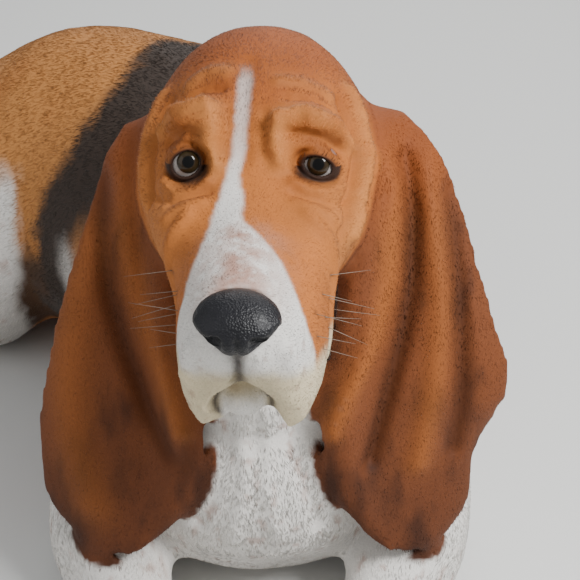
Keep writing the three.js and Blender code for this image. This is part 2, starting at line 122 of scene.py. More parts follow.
def set_points(mesh: bpy.types.Mesh, points: np.ndarray) -> None:
    """Writes the vertices of a mesh, in metres."""
    mesh.vertices.foreach_set("co", points.ravel())
    mesh.update()


def normals_of(mesh: bpy.types.Mesh) -> np.ndarray:
    """The mesh's vertex normals."""
    flat = np.empty(len(mesh.vertices) * 3, dtype=np.float32)
    mesh.vertex_normals.foreach_get("vector", flat)
    return flat.reshape(-1, 3).astype(float)


def link_object(name: str, data: bpy.types.ID) -> bpy.types.Object:
    """Puts a mesh, light or camera into the scene as an object."""
    piece = bpy.data.objects.new(name, data)
    bpy.context.collection.objects.link(piece)
    return piece


def remesh(piece: bpy.types.Object, voxel_m: float) -> None:
    """Covers a piece with one even skin."""
    even = piece.modifiers.new("even", "REMESH")
    even.mode = "VOXEL"
    even.voxel_size = voxel_m
    apply_modifier(piece, even.name)


def welded(name: str) -> bmesh.types.BMesh:
    """A copy of a node's mesh, with its corners joined and its faces turned outwards."""
    work = bmesh.new()
    work.from_mesh(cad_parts[name].data)
    bmesh.ops.remove_doubles(work, verts=work.verts, dist=WELD_M)
    bmesh.ops.recalc_face_normals(work, faces=work.faces)
    return work


def colour_points(mesh: bpy.types.Mesh, colours: np.ndarray) -> None:
    """Writes one linear colour for each vertex of a mesh."""
    rgba = np.concatenate([colours, np.ones((len(colours), 1))], axis=1)
    attribute = mesh.attributes.new("coat_colour", "FLOAT_COLOR", "POINT")
    attribute.data.foreach_set("color", rgba.reshape(-1).astype(np.float32))


HASH_PRIMES = (73856093, 19349663, 83492791)
HASH_SEED_PRIME = 2654435
HASH_MIX = 1274126177
HASH_MASK = 0x7FFFFFFF
HASH_VALUES = 20011
SEED_SHIFT = 17.3
CUBE_CORNERS = tuple(np.array([n & 1, (n >> 1) & 1, (n >> 2) & 1]) for n in range(8))


def hashed_noise(points: np.ndarray, size: float, seed: int) -> np.ndarray:
    """Smooth value noise from -1 to 1.

    Args:
        points: Places in millimetres, one row each.
        size: The size of one cell of the noise in millimetres.
        seed: Picks the pattern.

    Returns:
        One value for each row.
    """
    scaled = points / size + seed * SEED_SHIFT
    cell = np.floor(scaled).astype(np.int64)
    share = ramp(scaled - cell, 0, 1)
    total = np.zeros(len(points))
    for step in CUBE_CORNERS:
        key = np.bitwise_xor.reduce((cell + step) * HASH_PRIMES, axis=1) ^ (seed * HASH_SEED_PRIME)
        key = (key ^ (key >> 13)) * HASH_MIX & HASH_MASK
        value = 2 * (key % HASH_VALUES) / HASH_VALUES - 1.0
        total += value * np.prod(np.where(step == 1, share, 1 - share), axis=1)
    return total


def cloudy(points: np.ndarray, size: float, seed: int) -> np.ndarray:
    """Three octaves of noise, from about -1 to 1."""
    return (
        hashed_noise(points, size, seed)
        + 0.5 * hashed_noise(points, size / 2.1, seed + 1)
        + 0.25 * hashed_noise(points, size / 4.3, seed + 2)
    ) / 1.4


def ramp(value: np.ndarray, low: float, high: float) -> np.ndarray:
    """A smooth step from 0 at low to 1 at high."""
    share = np.clip((value - low) / (high - low), 0, 1)
    return share * share * (3 - 2 * share)


def edge(inside: np.ndarray, softness: float) -> np.ndarray:
    """0 outside a soft edge and 1 inside it.

    Args:
        inside: Millimetres in from the edge.
        softness: Half the width of the edge.

    Returns:
        A share for each row.
    """
    return ramp(inside, -softness, softness)


def bell(distance: np.ndarray, width: float) -> np.ndarray:
    """A round bump that falls off over a width."""
    return np.exp(-((distance / width) ** 2))


def blend(first: np.ndarray, second: np.ndarray | float, share: np.ndarray) -> np.ndarray:
    """Goes from the first value to the second by a share."""
    return first * (1 - share) + second * share


def unit_rows(rows: np.ndarray) -> np.ndarray:
    """Rows scaled to a length of 1."""
    return rows / np.maximum(np.linalg.norm(rows, axis=1), TINY)[:, None]


def distance_to_path(points: np.ndarray, path: np.ndarray) -> np.ndarray:
    """The distance from each point to a chain of straight lengths."""
    best = np.full(len(points), FAR)
    for start, end in zip(path[:-1], path[1:]):
        along = end - start
        share = np.clip((points - start) @ along / max(along @ along, TINY), 0, 1)
        best = np.minimum(best, np.linalg.norm(points - start - share[:, None] * along, axis=1))
    return best


class Landmarks:
    """The dog's own frame and its head's frame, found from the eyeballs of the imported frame."""

    def __init__(self) -> None:
        """Reads the eye boxes."""
        centres = {}
        for side in Side:
            low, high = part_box(f"eye_{side.word}")
            centres[side] = (np.array(low) + np.array(high)) / 2
        across = centres[Side.LEFT] - centres[Side.RIGHT]
        self.axis_u = across / np.linalg.norm(across)
        self.axis_w = np.array([0.0, 0.0, 1.0])
        self.axis_v = np.cross(self.axis_u, self.axis_w)
        middle = (centres[Side.LEFT] + centres[Side.RIGHT]) / 2
        offset = self.axis_v * EYE_AT_MM[1] * MM + self.axis_w * EYE_AT_MM[2] * MM
        self.head_origin = middle - offset
        self.shift = self.head_origin - np.array(HEAD_ORIGIN_MM) * MM
        self.eyes = centres

    def to_head(self, points: np.ndarray) -> np.ndarray:
        """World metres to (u, v, w) millimetres in the head's frame."""
        local = points - self.head_origin
        return np.stack([local @ self.axis_u, local @ self.axis_v, local @ self.axis_w], axis=1) / MM

    def from_head(self, points: np.ndarray) -> np.ndarray:
        """(u, v, w) millimetres in the head's frame to world metres."""
        axes = np.stack([self.axis_u, self.axis_v, self.axis_w])
        return self.head_origin + (np.atleast_2d(points) * MM) @ axes

    def to_dog(self, points: np.ndarray) -> np.ndarray:
        """World metres to millimetres in the dog's own frame, with its chest near x = 0, y = 0."""
        return (points - self.shift) / MM

    def from_dog(self, points: tuple[float, float, float] | np.ndarray) -> np.ndarray:
        """Millimetres in the dog's own frame to world metres."""
        return np.array(points) * MM + self.shift


LAND = Landmarks()


def srgb(red: int, green: int, blue: int) -> np.ndarray:
    """A colour, given from 0 to 255, as linear light."""
    value = np.array([red, green, blue]) / 255.0
    return np.where(value <= 0.04045, value / 12.92, ((value + 0.055) / 1.055) ** 2.4)


def tone(red: int, green: int, blue: int) -> np.ndarray:
    """A colour of the coat, as the default value of a field."""
    return field(default_factory=lambda: srgb(red, green, blue))


@dataclass(frozen=True)
class CoatColours:
    """The colours of the coat as linear light."""

    tan: np.ndarray = tone(178, 104, 47)
    red: np.ndarray = tone(146, 76, 34)
    pale: np.ndarray = tone(206, 142, 80)
    mahogany: np.ndarray = tone(118, 66, 37)
    # ear_dark is the mahogany as it looks in shade; it gives the ear's darker streaks and tips, and painted
    # shade in the folds and lower ear
    ear_dark: np.ndarray = tone(58, 32, 20)
    sand: np.ndarray = tone(190, 128, 70)
    black: np.ndarray = tone(60, 49, 42)
    white: np.ndarray = tone(226, 222, 216)
    cream: np.ndarray = tone(218, 202, 168)
    grey: np.ndarray = tone(150, 142, 138)
    pink: np.ndarray = tone(176, 128, 108)
    lid: np.ndarray = tone(30, 22, 20)


SPINE_MM = np.array([
    (0.0, -26.0), (0.0, 78.0), (-22.0, 152.0), (-84.0, 250.0), (-150.0, 308.0), (-212.0, 326.0),
])
SADDLE_X = (-202, -178, -155, -124, -111, -82, -40, 60)
SADDLE_Y = (156, 155, 166, 185, 213, 286, 300, 290)
BLAZE_V = (40, 70, 89, 96, 127, 153, 165, 185)
BLAZE_LEFT_U = (-10, -11.2, -14.6, -16.3, -22.1, -28.1, -31, -50)
BLAZE_RIGHT_U = (-0.5, -1.8, -4.6, -3.8, 0.4, 20.9, 27, 45)
PIT_ROWS_W = (-20.0, -31.0, -42.0)
PIT_COLUMNS_V = (124.0, 142.0, 160.0)
PIT_STEP = 6
MOUTH_PATH = np.array([(0, 100, -64), (0, 168, -66)])
TEAR_PATH = np.array([(26, 82, 19), (29, 88, 9), (36, 90, 8)])
UPPER_LID_DARK = 2.6
LOWER_LID_DARK = 4.8
# How strongly the folds are painted: painted highlight on ridges, painted shade in furrows.
FOLD_LIGHT_AND_SHADE = 0.085


@dataclass
class Paint:
    """Linear colours, one row for each place, that take further colours one over another."""

    rows: np.ndarray

    @classmethod
    def plain(cls, colour: np.ndarray, count: int) -> "Paint":
        """One colour all over."""
        return cls(np.tile(colour, (count, 1)))

    def lay(self, colour: np.ndarray, share: np.ndarray) -> None:
        """Lays a colour over what is there, by a share for each row."""
        self.rows = blend(self.rows, colour, share[:, None])


class Markings:
    """Where each colour of the coat lies, with painted shade and painted highlight laid in, worked out from
    places on the dog in millimetres.
    """

    def __init__(self) -> None:
        """Keeps the colours."""
        self.colours = CoatColours()

    @staticmethod
    def along_back(dog: np.ndarray) -> np.ndarray:
        """How far along the trunk a point lies, in millimetres from the chest."""
        best = np.full(len(dog), FAR)
        where = np.zeros(len(dog))
        done = 0.0
        for start, end in zip(SPINE_MM[:-1], SPINE_MM[1:]):
            along = end - start
            length = float(np.linalg.norm(along))
            share = np.clip((dog[:, :2] - start) @ along / length**2, 0, 1)
            away = np.linalg.norm(dog[:, :2] - start - share[:, None] * along, axis=1)
            near = away < best
            best = np.where(near, away, best)
            where = np.where(near, done + share * length, where)
            done += length
        return where

    def body(self, points: np.ndarray) -> np.ndarray:
        """Colours of the trunk, legs and tail, from the sand ground up to the ticks, with painted shade on
        the side of the neck under the ears and in the recess in front of the right thigh.

        Args:
            points: World places in metres.

        Returns:
            Linear colours, one row each.
        """
        hue = self.colours
        dog = LAND.to_dog(points)
        x, y, z = dog.T
        out = np.abs(x)
        rough = cloudy(dog, 26, 3)
        station = self.along_back(dog)
        coat = Paint.plain(hue.sand, len(dog))
        coat.lay(hue.tan, ramp(0.5 * cloudy(dog, 60, 5) + 0.5 - (z - 60) / 420, 0.2, 0.9) * 0.8)
        coat.lay(hue.black, self.saddle(dog, station, rough))
        low = edge(90 - z + 18 * rough, 14) * edge(300 - station + 10 * rough, 15)
        flank = edge(150 - z + 14 * rough, 12) * edge(124 - y + 9 * rough, 8)
        belly = Paint.plain(hue.white * 0.85, len(dog))
        belly.lay(hue.grey, ramp(y, 60, 110) * 0.5)
        coat.lay(belly.rows, np.maximum(low, flank))
        bib = edge(52 - y - 0.18 * (z - 120) + 14 * rough - 0.35 * np.maximum(out - 60, 0), 12)
        bib *= ramp(330 - z, 0, 40)
        bib *= 1 - ramp(z, 180, 205) * edge(out - 46 + 5 * rough, 7)
        coat.lay(hue.white, bib)
        right_arm = edge(-x - 118 + 8 * rough, 8) * edge(y + 40, 20) * ramp(z - 20, 0, 12)
        left_arm = edge(x - 128 + 8 * rough, 8) * ramp(y - 5, -10, 20) * ramp(z - 60, 0, 12)
        arms = np.maximum(right_arm, left_arm) * edge(y + 90, 20) * edge(56 - y + 6 * rough, 12)
        coat.lay(hue.tan, arms * edge(150 - z, 15))
        coat.lay(hue.white, edge(-y - 30 + 6 * rough, 12) * edge(90 - z, 10))
        # Painted shade: a black patch in the recess in front of the right thigh.
        thigh_recess_shade = edge(-x - 152, 6) * edge(y - 108, 6) * edge(184 - y, 6) * edge(118 - z, 10)
        coat.lay(hue.black, thigh_recess_shade * 0.9)
        thigh = edge(-x - 199 + 7 * rough, 6) * edge(222 - y + 8 * rough, 12)
        thigh *= edge(172 - z + 10 * rough, 12)
        far_leg = edge(y - 395 + 8 * rough, 10) * edge(80 - z + 10 * rough, 10)
        paws = np.maximum(edge(-x - 268, 10) * edge(318 - y, 10), edge(y - 425, 10))
        paws = edge(42 - z + 6 * rough, 8) * paws
        coat.lay(hue.white, np.maximum(np.maximum(thigh, far_leg), paws))
        coat.lay(hue.white, edge(-x - 396 + 4 * rough, 8) * edge(262 - y, 20))
        # Painted shade: a dark red on the side of the neck in the gap between the cheek and the ear.
        neck = ramp(z, 175, 200) * edge(out - 44 + 5 * rough, 7)
        neck *= edge(108 - out, 8) * ramp(90 - y, 0, 24)
        coat.lay(hue.red * 0.45, neck)
        ticks = ramp(hashed_noise(dog, 5.0, 33) + 0.3 * rough, 0.42, 0.7) * 0.5
        coat.lay(hue.pink * 0.8, ticks * ramp(coat.rows.min(axis=1), 0.35, 0.6))
        return coat.rows

    @staticmethod
    def saddle(dog: np.ndarray, station: np.ndarray, rough: np.ndarray) -> np.ndarray:
        """The black saddle over the back and down the flanks, left open at the shoulders."""
        x, y, z = dog.T
        share = edge(np.interp(x, SADDLE_X, SADDLE_Y) - y + 10 * rough + 7 * cloudy(dog, 7, 9), 9)
        share *= edge(z - 70 + 52 * ramp(-x, 146, 176) * ramp(y, 112, 126) + 20 * rough, 18)
        share *= ramp(station + 12 * rough, 55, 95)
        shoulder = ramp(100 - np.hypot(np.abs(x) - 140, y - 10) + 12 * rough, -10, 20)
        return share * (1 - shoulder * ramp(190 - z, -10, 30))

    def head(self, points: np.ndarray) -> np.ndarray:
        """Colours of the head and the front of the neck, by places in the head's frame, with painted shade in
        the eye sockets and furrows and painted highlight on the ridges.

        Args:
            points: World places in metres.

        Returns:
            Linear colours, one row each.
        """
        hue = self.colours
        place = LAND.to_head(points)
        u, v, w = place.T
        rough = cloudy(place, 14, 21)
        coat = Paint.plain(hue.tan, len(place))
        coat.lay(hue.red, ramp(w + 10 * rough, 34, 62) * 0.75)
        coat.lay(hue.red, ramp(34 - v + 8 * rough, -10, 40) * 0.7)
        coat.rows = coat.rows * (1 + 0.16 * cloudy(place * (1, 0.6, 1), 19, 71))[:, None]
        # Painted shade in the eye sockets, above the upper lid and at the inner corner, and a paler cheek
        # that is the coat's own tone.
        socket_shade_and_cheek_tones = (
            ((37, 76, 31), 13, hue.red * 0.6, 0.55),
            ((24, 88, 16), 12, hue.red * 0.8, 0.5),
            ((40, 92, -18), 30, hue.pale * 0.95, 0.35),
        )
        for side in Side:
            for spot, width, colour, amount in socket_shade_and_cheek_tones:
                away = np.linalg.norm(place - np.array(spot) * (side.value, 1, 1), axis=1)
                coat.lay(colour, bell(away, width) * amount)
        # Painted highlight on the ridges of the head's folds and painted shade in their furrows.
        for fold in HEAD_LINE:
            near = bell(distance_to_path(place, np.array(fold.path)), 1.5 * fold.width)
            fold_highlight_and_shade = hue.pale if fold.height > 0 else hue.red * 0.5
            coat.lay(fold_highlight_and_shade, near * abs(fold.height) * FOLD_LIGHT_AND_SHADE)
        self.blaze_and_muzzle(coat, place, rough)
        throat = edge(-w - 62 + 5 * rough, 8) * edge(44 - np.abs(u) + 5 * rough, 6)
        throat *= np.maximum(ramp(112 - v, 0, 16), ramp(14 - np.abs(u), 0, 5))
        coat.lay(hue.white, throat)
        for side in Side:
            out, _, up = Lids.local(place, side)
            reach = np.where(up > 0, UPPER_LID_DARK, LOWER_LID_DARK)
            dark = ramp(reach - Lids.opening(out, up, side) + 0.8 * rough, -1.4, 1.8)
            coat.lay(hue.lid, dark * ramp(v, 58, 66) * 0.95)
            tear = distance_to_path(place, TEAR_PATH * (side.value, 1, 1))
            coat.lay(hue.lid, bell(tear, 4.2) * 0.8)
        return coat.rows

    def blaze_and_muzzle(self, coat: Paint, place: np.ndarray, rough: np.ndarray) -> None:
        """Lays on the white blaze and muzzle, the cream lips, the mouth line and the whisker pits.

        Args:
            coat: The colours so far, which are changed.
            place: Places in the head's frame.
            rough: The noise that roughens the edges.
        """
        hue = self.colours
        u, v, w = place.T
        fine = cloudy(place, 4, 27)
        flare = 6 * ramp(-w, 10, 40)
        left = np.interp(v, BLAZE_V, BLAZE_LEFT_U) - flare
        right = np.interp(v, BLAZE_V, BLAZE_RIGHT_U) + flare
        inside = np.minimum(u - left, right - u)
        muzzle = ramp(inside - 1.2 + 1.3 * rough + 0.8 * fine, -1.8, 2.2) * ramp(v, 28, 44)
        forehead = ramp(96 - v, 0, 30)
        white = Paint.plain(hue.white, len(place))
        white.lay(hue.grey, forehead * 0.5)
        coat.lay(white.rows, muzzle * (1 - 0.3 * forehead))
        coat.lay(hue.cream, ramp(-w - 46 + 0.25 * (v - 150) + 5 * rough, -6, 8) * ramp(v, 96, 118))
        bridge = bell(np.abs(u + 1), 20) * ramp(v, 118, 138) * ramp(w, -14, -2)
        bridge *= ramp(0.6 * fine + 0.4 * rough, -0.6, 0.4)
        coat.lay(hue.pink * 0.9, bridge * 0.9)
        ticks = ramp(hashed_noise(place, 3.2, 83), 0.45, 0.75) * ramp(-w - 14, 0, 10) * ramp(v, 120, 140)
        coat.lay(hue.pink * 0.7, ticks * muzzle * 0.4)
        lips = ramp(-w - 26, 0, 12) * ramp(v, 150, 176) * ramp(26 - np.abs(u), 0, 10)
        coat.lay(hue.cream * 0.8, lips * 0.6)
        philtrum = bell(u, 4) * ramp(-w - 10, 0, 6) * ramp(60 + w, 0, 8) * ramp(v, 178, 190)
        coat.lay(hue.lid * 1.3, philtrum * 0.85)
        mouth = distance_to_path(place, MOUTH_PATH)
        coat.lay(hue.lid * 1.5, bell(mouth - 16.5, 2.6) * ramp(v, 140, 160) * 0.9)
        for row, height in enumerate(PIT_ROWS_W):
            for column in PIT_COLUMNS_V:
                away = np.hypot(v - column - PIT_STEP * (row % 2), w - height)
                coat.lay(hue.lid * 2, bell(away, 1.6) * ramp(np.abs(u), 14, 20) * 0.55)

    def ear(self, points: np.ndarray) -> np.ndarray:
        """Colours of the ears: mahogany, darker in long soft streaks and towards the tip, where the darkening
        is partly dark tips and partly painted shade, with painted highlight on the fold ridges and painted
        shade in the valleys.
        """
        hue = self.colours
        dog = LAND.to_dog(points)
        height = dog[:, 2]
        streak = cloudy(dog * (1.0, 1.0, 0.28), 13, 41)
        coat = Paint.plain(hue.mahogany, len(dog))
        coat.lay(hue.ear_dark, ramp(streak - (height - 150) / 320, -0.2, 0.9) * 0.85)
        # Darker towards the bottom of the ear: partly the coat's dark tips, partly painted shade.
        coat.lay(hue.ear_dark, ramp(190 - height, 0, 120) * 0.45)
        # Painted highlight on the ridges of the ear's folds and painted shade in their valleys.
        for fold in EAR_FOLDS:
            fold_highlight_and_shade = hue.tan if fold.height > 0 else hue.ear_dark * 0.7
            coat.lay(fold_highlight_and_shade, fold.share(dog) * abs(fold.height) * FOLD_LIGHT_AND_SHADE)
        coat.lay(hue.red, ramp(height, 262, 310) * 0.6)
        return coat.rows

    def paint(self, points: np.ndarray, ear: np.ndarray) -> np.ndarray:
        """Colours of any part of the coat.

        Args:
            points: World places in metres.
            ear: How far each place belongs to an ear, from 0 to 1.

        Returns:
            Linear colours, one row each.
        """
        place = LAND.to_head(points)
        height = LAND.to_dog(points)[:, 2]
        _, v, w = place.T
        rough = cloudy(place, 18, 51) * 6
        below = edge(w + 92 - 0.5 * np.maximum(60 - v, 0) + rough, 10)
        behind = edge(v + 62 + rough, 16) * below * ramp(v, 84, 104)
        above = edge(w + 42 + rough + 0.55 * np.maximum(v - 30, 0), 12) * ramp(v + 100, 0, 20)
        nape = ramp(-v + 20 + rough, 0, 30) * edge(w + 70, 20) * ramp(height, 235, 260)
        coat = Paint(self.body(points))
        coat.lay(self.colours.tan, nape * edge(v + 96 + rough, 12))
        coat.lay(self.head(points), np.clip(np.maximum(above, behind), 0, 1))
        coat.lay(self.ear(points), ear)
        return coat.rows


class Lids:
    """The opening of each eye, in a plane that leans back as the dog looks up."""

    TILT = math.radians(20)
    SLANT = 0.16
    HALF_WIDTH = 7.6
    UPPER = {Side.LEFT: 5.2, Side.RIGHT: 7.0}
    LOWER = {Side.LEFT: 5.0, Side.RIGHT: 6.8}
    FORWARD = np.array([0.0, math.cos(TILT), math.sin(TILT)])
    UPWARD = np.array([0.0, -math.sin(TILT), math.cos(TILT)])

    @classmethod
    def local(cls, place: np.ndarray, side: Side) -> tuple[np.ndarray, np.ndarray, np.ndarray]:
        """Places in the head's frame as millimetres out, forward and up from one eye's centre."""
        near = place - (side.value * EYE_AT_MM[0], EYE_AT_MM[1], EYE_AT_MM[2])
        return near[:, 0] * side.value, near @ cls.FORWARD, near @ cls.UPWARD

    @classmethod
    def opening(cls, out: np.ndarray, up: np.ndarray, side: Side) -> np.ndarray:
        """Distance past the rim of the opening, below 0 inside it.

        Args:
            out: Millimetres from the eye's centre towards the temple.
            up: Millimetres above the eye's centre.
            side: Which eye.

        Returns:
            Millimetres, one for each row.
        """
        tilted = up + cls.SLANT * out
        height = np.where(tilted > 0, cls.UPPER[side], cls.LOWER[side])
        near = np.hypot(out / cls.HALF_WIDTH, tilted / height)
        return (near - 1) * (height + cls.HALF_WIDTH) / 2


STEPS_PER_CORNER = 4


@dataclass(frozen=True)
class Fold:
    """A ridge or furrow of skin along a path on one side of the head or body."""

    path: tuple[tuple[float, float, float], ...]
    width: float
    height: float

    def lift(self, places: np.ndarray, sign: int) -> np.ndarray:
        """How far the fold raises each place, in millimetres, with its path laid on the skin."""
        corners = np.array(self.path) * (sign, 1, 1)
        count = len(corners)
        steps = np.linspace(0, count - 1, STEPS_PER_CORNER * count)
        path = np.stack([np.interp(steps, range(count), corners[:, k]) for k in range(3)], axis=1)
        laid = np.array([places[np.argmin(np.sum((places - spot) ** 2, axis=1))] for spot in path])
        return self.height * bell(distance_to_path(places, laid), self.width)


@dataclass(frozen=True)
class EarFold:
    """A long fold of an ear, along a path of places across and up, seen from in front."""

    path: tuple[tuple[float, float], ...]
    width: float
    height: float

    def share(self, dog: np.ndarray) -> np.ndarray:
        """How near each place lies to the fold, from 0 to 1."""
        return bell(distance_to_path(dog[:, [0, 2]], np.array(self.path)), self.width)


HEAD_FOLDS = (
    Fold(((22, 88, 14), (36, 90, 6), (50, 78, 10)), 2.6, 2.4),
    Fold(((22, 94, 8), (37, 95, 0), (53, 80, 3)), 2.6, -2.6),
    Fold(((24, 100, 2), (38, 100, -6), (54, 82, -6)), 3.4, 2.0),
    Fold(((28, 104, -6), (33, 112, -16), (38, 122, -38), (40, 132, -66)), 4.0, 2.6),
    Fold(((17, 186, -22), (20, 178, -40), (22, 168, -58)), 5.0, 2.2),
)
HEAD_LINE = (
    Fold(((13.5, 68, 46), (12.8, 77, 37), (14.6, 82, 26)), 4.6, 4.4),
    Fold(((15, 69, 45), (26, 67, 50), (38, 69, 47), (51, 58, 29), (57, 46, 14)), 4.2, 4.4),
    Fold(((21, 76, 42), (30, 76, 40), (41, 74, 36), (50, 64, 26)), 3.2, -4.4),
    Fold(((6, 63, 47), (5.6, 75, 36), (9, 84, 25)), 3.4, -1.2),
    Fold(((46, 46, 44), (32, 50, 55), (18, 54, 58)), 3.0, -2.6),
    Fold(((44, 36, 46), (30, 38, 57), (14, 44, 60)), 3.4, 2.2),
    Fold(((-24, 66, 50), (-22, 75, 44), (-23, 79, 35), (-21, 84, 26)), 6.0, 4.4),
    Fold(((-55, 46, 26), (-49, 52, 36), (-37, 65, 50), (-28, 64, 52)), 4.2, 4.4),
    Fold(((-50, 62, 28), (-47, 68, 32), (-38, 75, 40), (-32, 77, 40)), 3.2, -4.4),
    Fold(((-15, 62, 50), (-13.5, 74, 41), (-15.5, 80, 29)), 3.4, -2.2),
    Fold(((-42, 43, 46), (-32, 44, 55), (-20, 48, 58)), 3.0, -3.2),
    Fold(((-39, 32, 48), (-29, 30, 55), (-17, 35, 59)), 3.6, 3.2),
    Fold(((54, 12, 38), (62, 31, 24), (65, 47, 10), (60, 73, -2), (56, 92, -13)), 4.0, 5.2),
    Fold(((48, 31, 40), (55, 43, 28), (59, 56, 15), (56, 82, 3), (52, 106, -5)), 3.2, -4.6),
    Fold(((-56, 14, 34), (-62, 31, 20), (-64, 47, 6), (-58, 73, -8)), 4.0, 3.6),
    Fold(((-50, 31, 38), (-57, 43, 24), (-59, 58, 10), (-55, 80, -4)), 3.2, -3.4),
    Fold(((0, 214, -16), (0, 206, -30), (0, 196, -46)), 1.8, -2.8),
    Fold(((-4, 84, 30), (-4, 60, 52), (-5, 30, 66)), 4.0, -2.0),
)
NOSE_FOLDS = (
    Fold(((10.5, 211, -8), (15, 209, -7.5), (20, 201, -4)), 2.3, -4.0),
    Fold(((15, 210, 0), (20, 202, 2)), 2.6, 0.9),
)
NOSE_LINE = Fold(((0, 215, -2), (0, 213, -9), (0, 209, -16)), 1.4, -1.6)
EAR_FOLDS = (
    EarFold(
        ((-80, 298), (-78, 282), (-76, 262), (-70, 235), (-62, 212), (-53, 191), (-45, 165)), 8.5, 5.0,
    ),
    EarFold(((-92, 286), (-94, 263), (-89, 233), (-79, 201), (-65, 165), (-53, 145)), 6.0, -6.0),
    EarFold(((-105, 254), (-112, 223), (-117, 182), (-116, 139), (-106, 101)), 15.0, 4.0),
    EarFold(((77, 310), (84, 293), (81, 280), (80, 245), (70, 211), (54, 186), (45, 163)), 8.0, 6.0),
    EarFold(((89, 305), (94, 277), (94, 241), (89, 208), (79, 172), (70, 136)), 5.5, -7.0),
    EarFold(((105, 300), (107, 272), (112, 228), (110, 182), (102, 130)), 8.5, 4.5),
    EarFold(((116, 285), (121, 254), (125, 216), (126, 174), (123, 132)), 5.5, -5.5),
)
EAR_DRAPE = np.array([0.0, -0.95, 0.3])
CHEST_FOLDS = (
    Fold(((12, -118, 176), (6, -122, 130), (14, -120, 84)), 5.0, 4.0),
    Fold(((30, -104, 190), (26, -112, 140), (34, -108, 92)), 5.0, -4.0),
    Fold(((48, -88, 196), (46, -98, 150), (58, -92, 100)), 7.0, 4.0),
    Fold(((70, -60, 200), (76, -66, 150), (86, -62, 104)), 7.0, -4.0),
)


